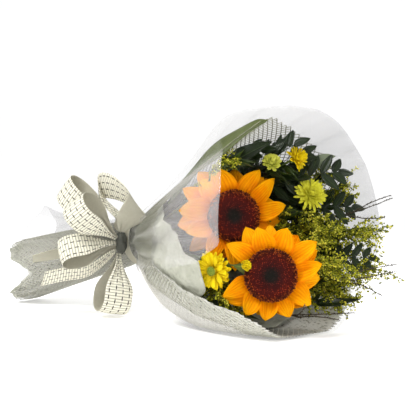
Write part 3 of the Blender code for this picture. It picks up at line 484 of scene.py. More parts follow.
for name, (gap_at, seed, stretch, swell, swell_at, swell_width) in PETAL_RINGS.items():
    draw, own = random.Random(seed), random.Random(seed + 50)
    spot = head_frame(name)
    petals = []
    for k in range(2 * RAYS):
        front = k % 2 == 0
        around = 180 * k / RAYS
        turn = math.tau * (k + draw.uniform(-0.16, 0.16)) / (2 * RAYS)
        length = draw.uniform(0.033, 0.039)
        half = draw.uniform(0.0092, 0.0106)
        rise = draw.uniform(0.012, 0.018) if front else draw.uniform(-0.009, -0.004)
        curl = draw.uniform(0.002, 0.009) if front else draw.uniform(0, 0.003)
        cup, twist = own.uniform(-0.1, 0.9), own.uniform(-0.95, 0.95)
        lean, ripple = own.uniform(-0.28, 0.28), own.uniform(0, 6)
        nod = own.choice((own.uniform(-0.012, 0.002), own.uniform(-0.004, 0.006), own.uniform(0.006, 0.018)))
        broad = half * own.uniform(0.95, 1.42)
        length *= own.uniform(0.92, 1.12) * stretch
        length *= 1 + swell * math.exp(-((around - swell_at) / swell_width) ** 2)
        if gap_at is not None and abs((around - gap_at + 180) % 360 - 180) < GAP_HALF_ANGLE:
            continue

        def ray(u, v):
            t = v * 1.35 - 0.35
            up = max(t, 0.0)
            if up < 0.43:
                share = 0.24 + 0.86 * math.sin(math.pi * min(1, up ** 0.78)) ** 0.78
            else:
                share = 1.06 * max(0.0, 1 - ((up - 0.43) / 0.57) ** 2.3) ** 0.85
            s = 2 * u - 1
            wide = broad * share if t > 0 else half * (0.24 - 0.2 * t)
            roll = twist * up
            edge = 0.0005 * math.sin(9 * up + ripple) * s
            y = wide * s * math.cos(roll) + lean * up * up * length
            depth = (wide * s * math.sin(roll)
                     + cup * wide * (s * s - 0.4) * math.sin(math.pi * min(1, up * 0.9 + 0.1))
                     + 0.0010 * math.cos(3 * math.pi * s + lean * 9) * math.sin(math.pi * min(1, up))
                     + nod * up**4 + edge)
            out = RAY_START + length * t
            height = rise * up - curl * up**3 - 0.0002 * k + depth + (0.0 if t > 0 else 0.004 * t)
            return round_head(spot, turn, out, y, height)

        petals.append(shaped(10, 16, ray))
    piece = thickened(joined(name + "_petals_fine", petals), PETAL_THICK)
    finished(piece, [petal_gold], name + "_petals")


# The chrysanthemums
# Five small blooms from a spray: strap petals in layers on a green cup. One is an open yellow daisy
# with a green button, one a bud, one half open and greenish, one seen from its side and one lemon.

STRAPS = {  # radius, core, count, lowest and highest lift, shortest strap's share, seed, finish
    "mum_1": (0.0255, 0.0062, 44, 4, 30, 0.90, 21, "daisy_petal"),
    "mum_2": (0.0085, 0.0046, 30, 48, 86, 0.90, 22, "daisy_petal"),
    "mum_3": (0.0135, 0.0058, 48, 20, 86, 0.80, 23, "lime_petal"),
    "mum_4": (0.0175, 0.0058, 44, 6, 66, 0.80, 24, "daisy_petal"),
    "mum_5": (0.0235, 0.0068, 84, 2, 86, 0.52, 25, "lemon_petal"),
}
STRAP_THICK = 0.0004
strap_finishes = {}
for name, tip, root in (("daisy_petal", tint(255, 228, 20), tint(240, 200, 16)),
                        ("lime_petal", tint(236, 236, 100), tint(176, 192, 60)),
                        ("lemon_petal", tint(252, 248, 76), tint(222, 220, 52))):
    straps = Finish(name, roughness=0.55, specular_ior_level=0.15)
    across, along = straps.map()
    lines = (across * 31).wave() * 0.5 + 0.5
    straps.blend(lines * 0.2, straps.between(straps.held(along * 1.6), root, tip), root)
    strap_finishes[name] = straps.relief(lines, 0.0003)

for name, (radius, core, count, low, high, shortest, seed, finish) in STRAPS.items():
    draw = random.Random(seed)
    spot = head_frame(name)
    top = core * 0.9
    broad = 1.5 if name == "mum_1" else 1.25 if radius < 0.018 else 1.0
    heart_line = ((0, -1.2), (core * 550, -1.2), (core * 560, top * 500), (core * 420, top * 700),
                  (0, top * 800))
    petals = [sealed(shaped(10, 12, turned_form(spot, heart_line)))]
    for k in range(count):
        share = k / (count - 1)
        turn = GOLDEN_TURN * k + draw.uniform(-0.1, 0.1)
        lift = math.radians(low + (high - low) * share**1.15 + draw.uniform(-5, 5))
        start = core * (1 - 0.8 * share) if high > 40 else core
        length = radius * (1 - (1 - shortest) * share) * draw.uniform(0.9, 1.0) - start
        floor = core * 0.85 * share
        half = draw.uniform(0.0015, 0.0020) * broad
        root = half * 0.55
        curl = draw.uniform(-0.02, 0.16) - 0.25 * share * (high > 40)
        cup, bend = draw.uniform(0.2, 0.7), draw.uniform(-0.16, 0.16)

        def strap(u, v):
            t = v * 1.15 - 0.15
            up = max(t, 0.0)
            wide = root + (half - root) * math.sin(math.pi / 2 * min(1, up / 0.62))
            if up > 0.62:
                wide = half * math.sqrt(max(0.0, 1 - ((up - 0.62) / 0.385) ** 2.6))
            s = 2 * u - 1
            out = start + length * t * math.cos(lift) + length * curl * up * up * math.sin(lift)
            y = wide * s + bend * up * up * length
            height = (floor + length * t * math.sin(lift) - length * curl * up * up * math.cos(lift)
                      + cup * wide * s * s)
            return round_head(spot, turn, out, y, height)

        petals.append(thickened(shaped(4, 9, strap), STRAP_THICK))
    piece = joined(name + "_bloom_fine", petals)
    finished(piece, [strap_finishes[finish]], name + "_bloom")

BUTTON_BUDS = 90
button_green = Finish("green_button", roughness=0.6)
button_green.blend(button_green.mark("tone"), tint(112, 136, 30), tint(186, 190, 60))
spot = head_frame("mum_1")
button_line = ((0, 6.4), (3.6, 6.6), (4.9, 7.8), (4.6, 8.8), (2.6, 9.6), (0, 9.8))
button_body = sealed(shaped(18, 12, turned_form(spot, button_line)))
spots = []
for k in range(BUTTON_BUDS):
    share = math.sqrt((k + 0.5) / BUTTON_BUDS)
    radius, height = outline_at(button_line, 1 - share * 0.66)
    turn = GOLDEN_TURN * k
    ahead = (spot(share * math.cos(turn), share * math.sin(turn), 1.2) - spot(0, 0, 0)).normalized()
    root = spot(radius * math.cos(turn), radius * math.sin(turn), height - 0.0004)
    spots.append((root, ahead, turn, 0.0009, 0.0012))
button = joined("mum_1_button", [button_body, scattered("button_florets", floret, spots, 91)])
finished(button, [button_green], "mum_1_centre")


# The goldenrod
# Ten sprays of goldenrod fill the bouquet's far side. Thin arching shoots carry hundreds of tiny
# olive-yellow buds, crowded in clumps all the way to their tips.

CONE_LENGTH = 0.283
MOUTH_RADIUS = 0.1376
CONE_SWELL = 0.85
TAIL_HALF_WIDTH = 0.060
TAIL_HALF_HEIGHT = 0.046
BELLY, BELLY_ANGLE = 0.040, 243
SAG, SAG_ANGLE = 0.0075, 264
FILM_CORNER, FILM_CORNER_ANGLE = 0.026, 116
FILM_PEAK, FILM_PEAK_ANGLE = 0.040, 98
GROOVE, GROOVE_ANGLE = 0.013, 196
PLEATS, PLEAT_DEPTH = 8, 0.0015
WAIST = 0.012
NECK_RADIUS = 0.02828
BAND_WIDTH = 0.012
SPRAYS = 10
FAT_SHOOT = 0.0022
BUDS_PER_MM2 = 0.19
SHEETS_DEPTH = 0.0080
TABLE_GAP = 0.006
MOUTH_FLARE = 0.35
TUFTS = ((0, 1.0, 0), (0.42, 0.96, 0.004), (-0.36, 0.92, 0.009))
SPRIGS = 96
SPRIG_STEPS = 7
SPRIG_RADIUS = 0.00032
LEAST_ROOM = 0.0005
BLOOM_GAP = 0.0016
INTO_VIEW = Vector((-0.706, 0.706, -0.061))


def lobe(angle, centre, width):
    """1 at the centre and fading to the sides, in degrees round the wrap."""
    off = (angle - centre + 180) % 360 - 180
    return math.exp(-((off / width) ** 2))


def rising(value, start, width):
    """0 up to the start, 1 from a width past it, and straight between."""
    return min(1, max(0, (value - start) / width))


def wrap_reach(along, angle, film=False):
    """Half widths of the wrap, across and up, at this height and angle."""
    away = math.hypot(along, WAIST) - WAIST
    pleat = PLEAT_DEPTH * math.cos(math.radians(PLEATS * angle))
    start = NECK_RADIUS + pleat * math.exp(-((along / 0.05) ** 2))
    if along >= 0:
        share = away / (math.hypot(CONE_LENGTH, WAIST) - WAIST)
        reach = start + (MOUTH_RADIUS - NECK_RADIUS) * share**CONE_SWELL
        belly = math.sin(math.pi * min(share, 1) ** 0.7) * rising(along, BAND_WIDTH / 2, 0.025)
        reach += BELLY * belly * lobe(angle, BELLY_ANGLE, 38) + SAG * share * lobe(angle, SAG_ANGLE, 32)
        if film:
            reach += FILM_CORNER * math.sin(math.pi * min(share, 1) ** 3) * lobe(angle, FILM_CORNER_ANGLE, 24)
        return reach, reach
    share = (away / (math.hypot(TAIL_LENGTH, WAIST) - WAIST)) ** 0.8
    rise = rising(-along / TAIL_LENGTH, 0.2, 0.55) if film else 0
    dent = GROOVE * share * lobe(angle, GROOVE_ANGLE, 20)
    return (start + (TAIL_HALF_WIDTH - NECK_RADIUS) * share - dent,
            start + (TAIL_HALF_HEIGHT - NECK_RADIUS) * share
            + FILM_PEAK * rise * rise * lobe(angle, FILM_PEAK_ANGLE, 26))


def round_at(point):
    """Where a point is along the bouquet, its angle round it, and how far it is from the axis."""
    off = point - TIE
    across, up = off.dot(FAR), off.dot(UP)
    return off.dot(AXIS), math.degrees(math.atan2(up, across)) % 360, math.hypot(across, up)


def room(point):
    """How far a point of the contents is inside the sheets round it."""
    along, angle, out = round_at(point)
    reach = wrap_reach(min(max(along, 0), CONE_LENGTH), angle)[0]
    reach += max(0.0, along - CONE_LENGTH) * MOUTH_FLARE
    return min(reach - SHEETS_DEPTH - out, point.z - TABLE_GAP)


def tree_of(*nodes):
    """A search tree over parts of the frame."""
    points, faces = [], []
    for name in nodes:
        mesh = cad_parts[name].data
        base = len(points)
        points += [v.co.copy() for v in mesh.vertices]
        faces += [tuple(base + i for i in face.vertices) for face in mesh.polygons]
    return BVHTree.FromPolygons(points, faces)


def merged_copy(node):
    """A copy of a part of the frame with its loose triangles joined up."""
    made = placed(bpy.data.objects.new(node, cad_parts[node].data.copy()))
    made.data.materials.clear()
    return worked(made, merge)


def spot_on(mesh, face, draw):
    """A random point on a triangle."""
    a, b, c = (mesh.vertices[i].co for i in face.vertices)
    s, t = draw.random(), draw.random()
    if s + t > 1:
        s, t = 1 - s, 1 - t
    return a + (b - a) * s + (c - a) * t


def stray(draw):
    return Vector([draw.uniform(-1, 1) for _ in range(3)])


def near(tree, point, gap):
    return tree.find_nearest(point, gap)[0] is not None


def hides(point):
    """Whether a bloom lies right behind a point, as the bouquet is looked at."""
    return blooms_tree.ray_cast(point, INTO_VIEW)[0] is not None


def free(point, gap=BLOOM_GAP):
    """Whether a point of the contents keeps clear of the sheets, and of the blooms and their view."""
    return room(point) > LEAST_ROOM and not near(blooms_tree, point, gap) and not hides(point)


def sprig(root, ahead, length, sag, draw):
    """The points of a side shoot that bends down as it grows, as far as it is free."""
    line = [root]
    sway = stray(draw) * 0.12
    for step in range(1, SPRIG_STEPS + 1):
        t = step / SPRIG_STEPS
        spot = root + (ahead + sway * t) * length * t - Vector((0, 0, sag * length * t * t))
        if not free(spot):
            break
        line.append(spot)
    return line


def strand(line, first_side, thick, points, faces):
    """Adds a three-sided strand along a line, closed at both ends."""
    base, last = len(points), len(line) - 1
    for i, spot in enumerate(line):
        ahead = (line[min(i + 1, last)] - line[max(i - 1, 0)]).normalized()
        side = first_side(spot, ahead).normalized()
        over = ahead.cross(side).normalized()
        points += [spot + (side * math.cos(turn) + over * math.sin(turn)) * thick(spot, i / last)
                   for turn in (0, math.tau / 3, math.tau * 2 / 3)]
    end = base + 3 * last
    for a in range(base, end, 3):
        faces += [(a + k, a + (k + 1) % 3, a + 3 + (k + 1) % 3, a + 3 + k) for k in range(3)]
    faces += [(base + 2, base + 1, base), (end, end + 1, end + 2)]


bud_olive = Finish("goldenrod_bud", roughness=0.7, specular_ior_level=0.15)
share = bud_olive.held(bud_olive.mark("tone") * 0.5 + bud_olive.clouds(170, 1) * 1.9 - 0.72)
bud_olive.paint({"Base Color": bud_olive.ramp(
    share, (0, 66, 76, 14), (0.35, 124, 130, 26), (0.6, 184, 182, 44), (1, 240, 230, 96))})
shoot_green = Finish("goldenrod_shoot", roughness=0.6)
shoot_green.blend(shoot_green.clouds(120), tint(74, 88, 26), tint(118, 124, 44))
bud = bud_shape(3, 0.6, 0.75)
blooms_tree = tree_of(*(name + part for name in SUNFLOWERS for part in ("_petals", "_disc")),
                      *(name + "_bloom" for name in MUMS))
lying_tree = tree_of("frond_1", "frond_2", "frond_3", "frond_4")

for number in range(1, SPRAYS + 1):
    node = "goldenrod_" + str(number)
    draw = random.Random(100 + number)
    shoots = merged_copy(node)
    mesh = shoots.data
    tree = tree_of(node)
    fat = []
    for face in mesh.polygons:
        wanted = face.area * 1e6 * BUDS_PER_MM2
        for _ in range(int(wanted) + (draw.random() < wanted % 1)):
            spot = spot_on(mesh, face, draw)
            through = tree.ray_cast(spot - face.normal * 0.00005, -face.normal)
            if through[0] is not None and through[3] > FAT_SHOOT:
                fat.append((spot, face.normal.copy(), through[3]))
    slim = []
    for point in mesh.vertices:
        through = tree.ray_cast(point.co - point.normal * 0.0003, -point.normal)
        if through[0] is not None and through[3] > FAT_SHOOT:
            slim.append((point.index, point.co - point.normal * (through[3] / 2 - 0.0002)))
    for index, spot in slim:
        mesh.vertices[index].co = spot
    middle = sum((f[0] for f in fat), Vector()) / max(1, len(fat))
    stem_way = (middle - TIE).normalized()
    spots = []
    for turn_round, shrink, back in TUFTS:
        spin = Matrix.Rotation(turn_round, 3, stem_way)
        for spot, normal, deep in fat:
            if turn_round and draw.random() < 0.25:
                continue
            moved = middle + spin @ (spot - middle) * shrink - stem_way * back
            moved += stray(draw) * 0.0015
            moved -= spin @ normal * draw.uniform(0, 0.5) * deep
            ahead = (spin @ normal + stem_way * draw.uniform(0.4, 1.6)).normalized()
            if room(moved) < LEAST_ROOM or near(blooms_tree, moved, BLOOM_GAP):
                continue
            if turn_round and near(lying_tree, moved, 0.0015):
                continue
            size = draw.uniform(0.0013, 0.0024)
            spots.append((moved, ahead, draw.uniform(0, 3), size, size * draw.uniform(1.1, 1.7)))
    sprigs = []
    for root, ahead, *_ in draw.sample(spots, min(SPRIGS, len(spots))):
        line = sprig(root, (ahead + stem_way * 0.5).normalized(), draw.uniform(0.014, 0.034),
                     draw.uniform(0.0, 0.35), draw)
        if len(line) < 4:
            continue
        sprigs.append(line)
        for a, b in zip(line[1:], line[2:]):
            way = (b - a).normalized()
            for _ in range(3):
                off = stray(draw).cross(way).normalized()
                size = draw.uniform(0.0014, 0.0025)
                spot = a.lerp(b, draw.random()) + off * 0.0003
                if free(spot + off * size):
                    ahead = (off + way * draw.uniform(0.3, 1.2)).normalized()
                    spots.append((spot, ahead, draw.uniform(0, 3), size, size * draw.uniform(1.1, 1.7)))
    extra = []
    for turn_round, shrink, back in TUFTS[1:]:
        spin = Matrix.Rotation(turn_round, 3, stem_way)
        more = copied(shoots)
        for point in more.data.vertices:
            point.co = middle + spin @ (point.co - middle) * shrink - stem_way * back
        extra.append(cut_across(more, middle - stem_way * (0.045 + back), stem_way, clear_inner=True))
    points, faces = [], []
    for line in sprigs:
        strand(line, lambda spot, ahead: ahead.orthogonal(),
               lambda spot, share: SPRIG_RADIUS * (1 - 0.6 * share), points, faces)
    extra.append(built(node + "_sprigs", points, faces))
    for part in (shoots, *extra):
        part.data.materials.append(shoot_green.material)
    buds = scattered(node + "_buds", bud, spots, 120 + number)
    buds.data.materials.append(bud_olive.material)
    piece = joined(node + "_spray", [shoots, *extra, buds])
    finished(piece, [], node)
put_away(bud)


# The narrow leaves
# The goldenrod and the small blooms keep the narrow green leaves of the upper half of their stems.
# They point up and outwards and make the dark ground that the flowers stand against.

LEAFY = ["goldenrod_%d" % number for number in range(1, SPRAYS + 1)]
LEAFY += [name + "_stem" for name in MUMS[2:] + SUNFLOWERS]
LEAFY_FROM, LEAFY_TO = 0.07, 0.25
LEAVES_A_STEM = 60
blade_shape = thickened(shaped(2, 5, lambda u, v: Vector((
    (2 * u - 1) * math.sin(math.pi * min(1, 0.06 + v**0.8)) * 0.5,
    0.25 * abs(2 * u - 1) * math.sin(math.pi * v) - 0.5 * v * v, v))), 0.05)
leafy_green = Finish("narrow_leaf", roughness=0.45, specular_ior_level=0.4)
leafy_green.blend(leafy_green.mark("tone"), tint(20, 32, 8), tint(60, 78, 20))
leafy_green.relief(leafy_green.clouds(500), 0.0004)
spots = []
draw = random.Random(17)
for name in LEAFY:
    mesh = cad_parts[name].data
    grown = 0
    for face in draw.sample(list(mesh.polygons), len(mesh.polygons)):
        along = (face.center - TIE).dot(AXIS)
        if not LEAFY_FROM < along < LEAFY_TO or grown >= LEAVES_A_STEM:
            continue
        a, b, c = (mesh.vertices[i].co for i in face.vertices)
        for _ in range(4):
            root = a.lerp(b, draw.random()).lerp(c, draw.random() * 0.8) - face.normal * 0.0004
            outward = (face.normal - AXIS * face.normal.dot(AXIS)).normalized()
            ahead = (outward * draw.uniform(0.3, 0.9) + AXIS).normalized()
            long = draw.uniform(0.020, 0.036)
            if room(root + ahead * long) < 0.010 or not all(
                    free(root + ahead * long * part, 0.0035) for part in (0.3, 0.55, 0.8, 1)):
                continue
            broad = 1.6 if along < 0.14 else 1
            spots.append((root, ahead, draw.uniform(0, 6), draw.uniform(0.004, 0.0072) * broad, long))
            grown += 1
leaves = scattered("narrow_leaves", blade_shape, spots, 93)
finished(leaves, [leafy_green])
put_away(blade_shape)


# The fronds
# Four dark glossy fronds lie behind the small blooms. Stiff leaflets with saw-toothed edges stand in
# pairs along each arched rib, with one at its end, and each has a sunken middle vein.

FRONDS = {  # the way it faces, its pairs, the leaflets' length and width, each rib's root and tip
    "frond_1": ((0.4, -0.7, 0.5), 5, 0.028, 0.0105, (
        ((212, 12, 66), (268, 26, 98)), ((180, -6, 50), (224, -8, 99)), ((188, 14, 50), (236, 24, 100)),
        ((176, 2, 44), (212, 26, 84)), ((166, -14, 46), (204, -16, 92)), ((190, 4, 60), (228, 10, 104)),
        ((192, 16, 54), (238, 12, 94)))),
    "frond_2": ((0.4, -0.7, 0.5), 6, 0.028, 0.0105, (
        ((218, 18, 46), (290, 84, 56)), ((198, 26, 42), (246, 56, 86)), ((194, 22, 22), (238, 56, 48)),
        ((206, 34, 52), (248, 62, 90)), ((184, 30, 10), (222, 66, 26)),
        ((200, 34, 50), (252, 42, 92)))),
    "frond_3": ((0.5, -0.7, 0.4), 5, 0.025, 0.0095, (
        ((230, 50, 14), (290, 98, 12)), ((200, 40, 6), (246, 74, 30)), ((186, 26, -10), (226, 60, 6)),
        ((204, 40, -20), (240, 74, -8)))),
    "frond_4": ((0.5, -0.7, 0.4), 5, 0.020, 0.0080, (
        ((254, 52, -48), (313, 92, -52)), ((210, 44, -30), (256, 82, -22)))),
}
LEAFLET_LEANS = {("frond_2", 1, -1): 3, ("frond_2", 2, -1): 6, ("frond_2", 3, -1): 2, ("frond_2", 4, 1): 2,
                 ("frond_1", 2, -1): 1, ("frond_1", 3, 1): 1}
TEETH = 9
LEAFLET_THICK, BLADE_THICK = 0.0005, 0.0006


def leaf_finish(name, low, high, shine, vein):
    """A leaf's skin: mottled green with a paler middle vein and fine side veins."""
    skin = Finish(name, roughness=shine, specular_ior_level=0.35)
    across, along = skin.map()
    off = abs(across - 0.5)
    middle_vein = skin.held(1 - off * 28)
    side_veins = skin.held(((along * 70 - off * 60).wave() - 0.75) * 4)
    green = skin.between(skin.clouds(70), low, high)
    skin.blend(skin.held(middle_vein * 0.7 + side_veins * 0.25), green, vein)
    return skin.relief(1 - middle_vein * 0.8 - side_veins * 0.3 + skin.clouds(400) * 0.2, 0.0005)


def cut_stalk(node, root, ahead):
    """The stalk of a leafy part of the frame, up to where its blade begins."""
    return cut_across(merged_copy(node), root, ahead, clear_outer=True)


dark_green = leaf_finish("dark_frond", tint(11, 21, 6), tint(31, 47, 15), 0.33, tint(70, 90, 38))
for name, (normal, pairs, leaflet, width, ribs) in FRONDS.items():
    parts = []
    draw = random.Random(name)
    for root, tip in ribs:
        base, end = at(*root), at(*tip)
        line = end - base
        ahead = line.normalized()
        flat = aim(*normal)
        flat = (flat - ahead * flat.dot(ahead)).normalized()
        side = flat.cross(line).normalized()
        count = pairs * 2 + 1
        first = not parts

        def on_rib(share):
            if share < 0:
                return base + (base - at(root[0] * 0.6, root[1] * 0.6, root[2] * 0.6)) * share
            return base + line * share + flat * (0.10 * line.length * 4 * share * (1 - share))

        def rib_skin(u, v):
            thin = 0.0009 * (1 - 0.7 * v)
            spot = on_rib(v if first else 2 * v - 1)
            return spot + side * thin * math.cos(math.tau * u) + flat * thin * math.sin(math.tau * u)

        if first:
            parts.append(cut_stalk(name, base + ahead * 0.001, ahead))
        parts.append(sealed(shaped(6, 10, rib_skin)))
        for pair in range(pairs + 1):
            for hand in (-1, 1) if pair < pairs else (0,):
                size = leaflet * (0.90 + 0.3 * math.sin(math.pi * (pair + 0.8) / (pairs + 0.6)))
                size *= 1 - 0.2 * (pair == pairs - 1)
                lean = LEAFLET_LEANS.get((name, pair, hand), 0) if first else draw.choice((0, 0, 1, 2))
                start = on_rib(min((pair * 2 + 0.5) / count, 1))
                if hand:
                    out = (side * hand + ahead * (0.62 + 0.12 * lean)).normalized()
                    reach = size * (1 - 0.06 * lean)
                else:
                    out = (on_rib(1) - on_rib(0.94)).normalized()
                    start, reach = on_rib(0.86), leaflet * 0.72
                wide = (ahead - out * ahead.dot(out)).normalized() if hand else side
                sag = flat * (-0.12 + 0.16 * lean * (-1) ** lean)
                fold, droop = draw.uniform(0.1, 0.3), draw.uniform(-0.06, 0.10)

                def blade(u, v):
                    s = 2 * u - 1
                    tooth = 1 + 0.10 * ((v * TEETH) % 1 - 0.5) * min(1, 6 * v) * (abs(s) > 0.99)
                    half = width / 2 * 1.12 * math.sin(math.pi * min(1, v**0.82)) ** 0.72 * tooth
                    half = max(half, 0.0004 * (1 - v))
                    lift = flat * (fold * half * abs(s) - droop * reach * v * v) + sag * reach * v * 0.8
                    return start + out * reach * v + wide * half * s + lift

                probes = [blade(u, v) for u in (0, 0.25, 0.5, 0.75, 1) for v in (0.15, 0.4, 0.6, 0.8, 1)]
                if sum(map(hides, probes)) < 3 if first else all(free(probe, 0.001) for probe in probes):
                    parts.append(thickened(shaped(4, 18, blade), LEAFLET_THICK))
    finished(joined(name + "_fine", parts), [dark_green], name)


# The broad leaves
# A long olive leaf stands behind the clear film on the near side and a shorter one inside the mouth.
# Small grey and dark pointed leaves show at the far side. Each is one blade with a waved edge.

olive = leaf_finish("olive_leaf", tint(58, 68, 28), tint(100, 110, 56), 0.5, tint(128, 138, 84))
greyish = leaf_finish("grey_leaf", tint(96, 108, 84), tint(140, 150, 120), 0.6, tint(160, 168, 140))
BLADES = {  # middle line, half widths, the way it faces, wave, finish, slot
    "leaf_olive_1": (((80, -25.4, 42.3), (118, -34.9, 62.9), (158, -43.2, 81.6), (198, -49.4, 96.3),
                      (238, -52.1, 109.7), (268, -51.8, 117.9), (286, -50.3, 121.4)),
                     (2, 12, 16, 17, 14, 8, 0), (0, -0.75, 0.65), 0.0012, olive, "olive_leaf"),
    "leaf_olive_2": (((158, -24, 66), (183, -22, 78), (208, -18, 88), (230, -12, 95), (250, -6, 100)),
                     (2, 11, 13, 9, 0), (0.3, -0.8, 0.5), 0.0008, dark_green, "olive_leaf"),
    "leaf_grey": (((230, 66, 66), (246, 70, 72), (262, 74, 76), (276, 78, 78)),
                  (1.5, 8, 7.5, 0), (0.4, -0.8, 0.4), 0.0006, greyish, "grey_leaf"),
    "leaf_narrow": (((248, 36, -98), (268, 42, -99), (288, 50, -99), (308, 58, -98)),
                    (1.5, 6, 5.5, 0), (0.2, -0.7, 0.7), 0.0006, dark_green, "dark_frond"),
}

for name, (spine, halves, normal, wave, skin, slot) in BLADES.items():
    spine = [at(*spot) for spot in spine]
    flat = aim(*normal)

    def blade(u, v):
        spot = between(spine, v)
        ahead = (between(spine, v + 0.03) - between(spine, v - 0.03)).normalized()
        side = flat.cross(ahead).normalized()
        over = ahead.cross(side)
        s = 2 * u - 1
        half = max(between(halves, v) / 1000, 0.0)
        ripple = wave * s * abs(s) * math.sin(v * 15 + s)
        trough = half * 0.16 * (abs(s) ** 1.5 - 1) * min(1, 8 * (1 - v))
        return spot + side * half * s + over * (ripple + trough)

    stalk = cut_stalk(name, spine[0] + (spine[1] - spine[0]) * 0.1, (spine[1] - spine[0]).normalized())
    parts = [stalk, thickened(shaped(10, 32, blade), BLADE_THICK)]
    finished(joined(name + "_fine", parts), [skin], name)


# The twigs
# Fine dark twigs reach out past the mouth on the far side. They are wiry and dry, with small pointed
# spurs all along them.

dark_bark = Finish("dark_twig", roughness=0.8)
dark_bark.blend(dark_bark.clouds(300), tint(34, 30, 22), tint(78, 68, 48))
dark_bark.relief(dark_bark.clouds(1400), 0.0003)
carry(dark_bark, "twig_1", "twig_2", "twig_3")
spots = []
draw = random.Random(7)
for name in ("twig_1", "twig_2", "twig_3"):
    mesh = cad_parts[name].data
    for face in mesh.polygons:
        if (face.center - TIE).dot(AXIS) > 0.20 and face.area * 1e6 > 0.5:
            for _ in range(1 + int(face.area * 1e6 / 9)):
                spot = spot_on(mesh, face, draw) - face.normal * 0.0003
                ahead = (face.normal + AXIS * 1.4).normalized()
                spots.append((spot, ahead, draw.uniform(0, 3), 0.0008, draw.uniform(0.0015, 0.003)))
spurs = scattered("twig_spurs", floret, spots, 92)
finished(spurs, [dark_bark])
put_away(floret)


# The sage paper
# A sheet of matt sage-green paper is rolled round the stems and gathered at the neck in deep folds.
# Its top edge stands up as a short collar on the near side, and its lower end is rolled round the stems.

FILM_RIM = ((0, 285), (45, 285), (60, 288), (85, 284), (100, 284), (108, 264), (116, 226), (125, 240),
            (142, 264), (165, 276), (186, 270), (196, 218), (203, 144), (210, 60), (216, 72), (226, 158),
            (238, 230), (250, 264), (270, 270), (295, 276), (330, 282))
NET_RIM = ((0, 250), (39, 257), (52, 249), (78, 254), (100, 270), (114, 286), (121, 218), (130, 168),
           (150, 98), (180, 93), (205, 93), (214, 150), (221, 208), (228, 252), (236, 270), (250, 274),
           (285, 276), (330, 268))
PAPER_RIM = ((0, 168), (45, 118), (90, 78), (135, 83), (160, 108), (172, 133), (182, 156), (192, 168),
             (199, 204), (214, 204), (228, 168), (245, 194), (270, 218), (300, 223), (330, 193))
TAIL_RIM = ((0, 222), (60, 218), (90, 214), (120, 210), (150, 196), (178, 180), (196, 172), (214, 190),
            (232, 214), (255, 222), (290, 225), (330, 224))
FILM_TAIL_RIM = ((0, 218), (45, 206), (75, 168), (105, 162), (125, 180), (150, 190), (178, 176), (196, 168),
                 (214, 186), (232, 210), (255, 218), (290, 221), (330, 220))
NET_INSET = 0.0037
PAPER_INSET = 0.0064
OUTER_FOLDS = (15, 3.0)
PAPER_FOLDS = (11, 8.0)
NECK_SHARE = 0.42
PAPER_THICK, VEIL_THICK, FILM_THICK = 0.00035, 0.00025, 0.00015


def rim(table, angle):
    """The height of a sheet's edge at this angle, in metres."""
    angle %= 360
    points = list(table) + [(table[0][0] + 360, table[0][1])]
    for (a, low), (b, high) in zip(points, points[1:]):
        if a <= angle <= b:
            share = (angle - a) / (b - a)
            return (low + (high - low) * share * share * (3 - 2 * share)) / 1000
    return table[0][1] / 1000


def wrap_spot(along, angle, inset, film=False, out=0.0):
    """A point on a sheet of the wrap, this far in from its outer face, moved out, and above the table."""
    wide, high = wrap_reach(along, angle, film)
    turn = math.radians(angle)
    across = (wide - inset + out) * math.cos(turn)
    up = (high - inset + out) * math.sin(turn)
    table = TAIL_DROOP * tail_drift(along) - (TIE.z + along * math.sin(AXIS_LEAN)) / math.cos(AXIS_LEAN)
    return at(along * 1000, across * 1000, max(up, table + inset) * 1000)


def grain(along, angle, coarse, seed=0.0):
    """A smooth random height from -1 to 1 that joins up round the wrap."""
    turn = math.radians(angle)
    return noise.noise(Vector((math.cos(turn) * coarse, math.sin(turn) * coarse, along * coarse * 9 + seed)))


def folds(along, angle, count, seed=0.0):
    """Sharp folds that run along the wrap, from 0 in a valley to 1 on a ridge."""
    phase = count * angle / 360 + 0.5 * grain(along * 0.6, angle, 1.7, seed)
    return abs(2 * (phase % 1) - 1)


def fold_depth(along):
    """How deep the gathers are: none under the ribbon, most just past it, and little at the mouth."""
    away = abs(along)
    return min(1.0, max(0.0, away - 0.004) / 0.03) * (0.25 + 0.75 * math.exp(-away / 0.07))


def outer_push(along, angle):
    """How far the outer sheet stands out from its smooth form."""
    ridge = folds(along, angle, *OUTER_FOLDS)
    return fold_depth(along) * (0.0052 * ridge * ridge + 0.0012 * (1 + grain(along, angle, 3.2)))


def marked_round(piece, **marks):
    """Marks each point of a sheet by its place along the bouquet and its angle round it."""
    spots = [round_at(point.co)[:2] for point in piece.data.vertices]
    return marked(piece, **{name: [mark(*spot) for spot in spots] for name, mark in marks.items()})


def rolled(name, columns, rows, edge, tail_edge, where):
    """A sheet rolled into a tube round the bouquet, from its lower edge to its upper one."""
    def roll(u, v):
        angle = 360 * u
        below = v < NECK_SHARE
        share = abs(v - NECK_SHARE) / (NECK_SHARE if below else 1 - NECK_SHARE)
        along = (-rim(tail_edge, angle) if below else rim(edge, angle)) * share**1.25
        return where(along, angle)

    return worked(named(shaped(columns, rows, roll), name), merge)


def painted_fold_shade(along, angle):
    """How much painted shade a point of the paper gets, by how deep in the paper's folds it is."""
    return min(0.9, (1 - folds(along, angle, *PAPER_FOLDS)) ** 2.2 * fold_depth(along) * 1.3)


def paper_spot(along, angle):
    crush = fold_depth(along) * (0.014 if along > 0 else 0.010)
    ridge = folds(along, angle, *PAPER_FOLDS)
    out = -crush * (1 - ridge) + 0.0016 * grain(along, angle, 6, 5.0) * min(1, abs(along) / 0.03)
    out += 0.45 * outer_push(along, angle)
    return wrap_spot(along, angle, PAPER_INSET, False, out)


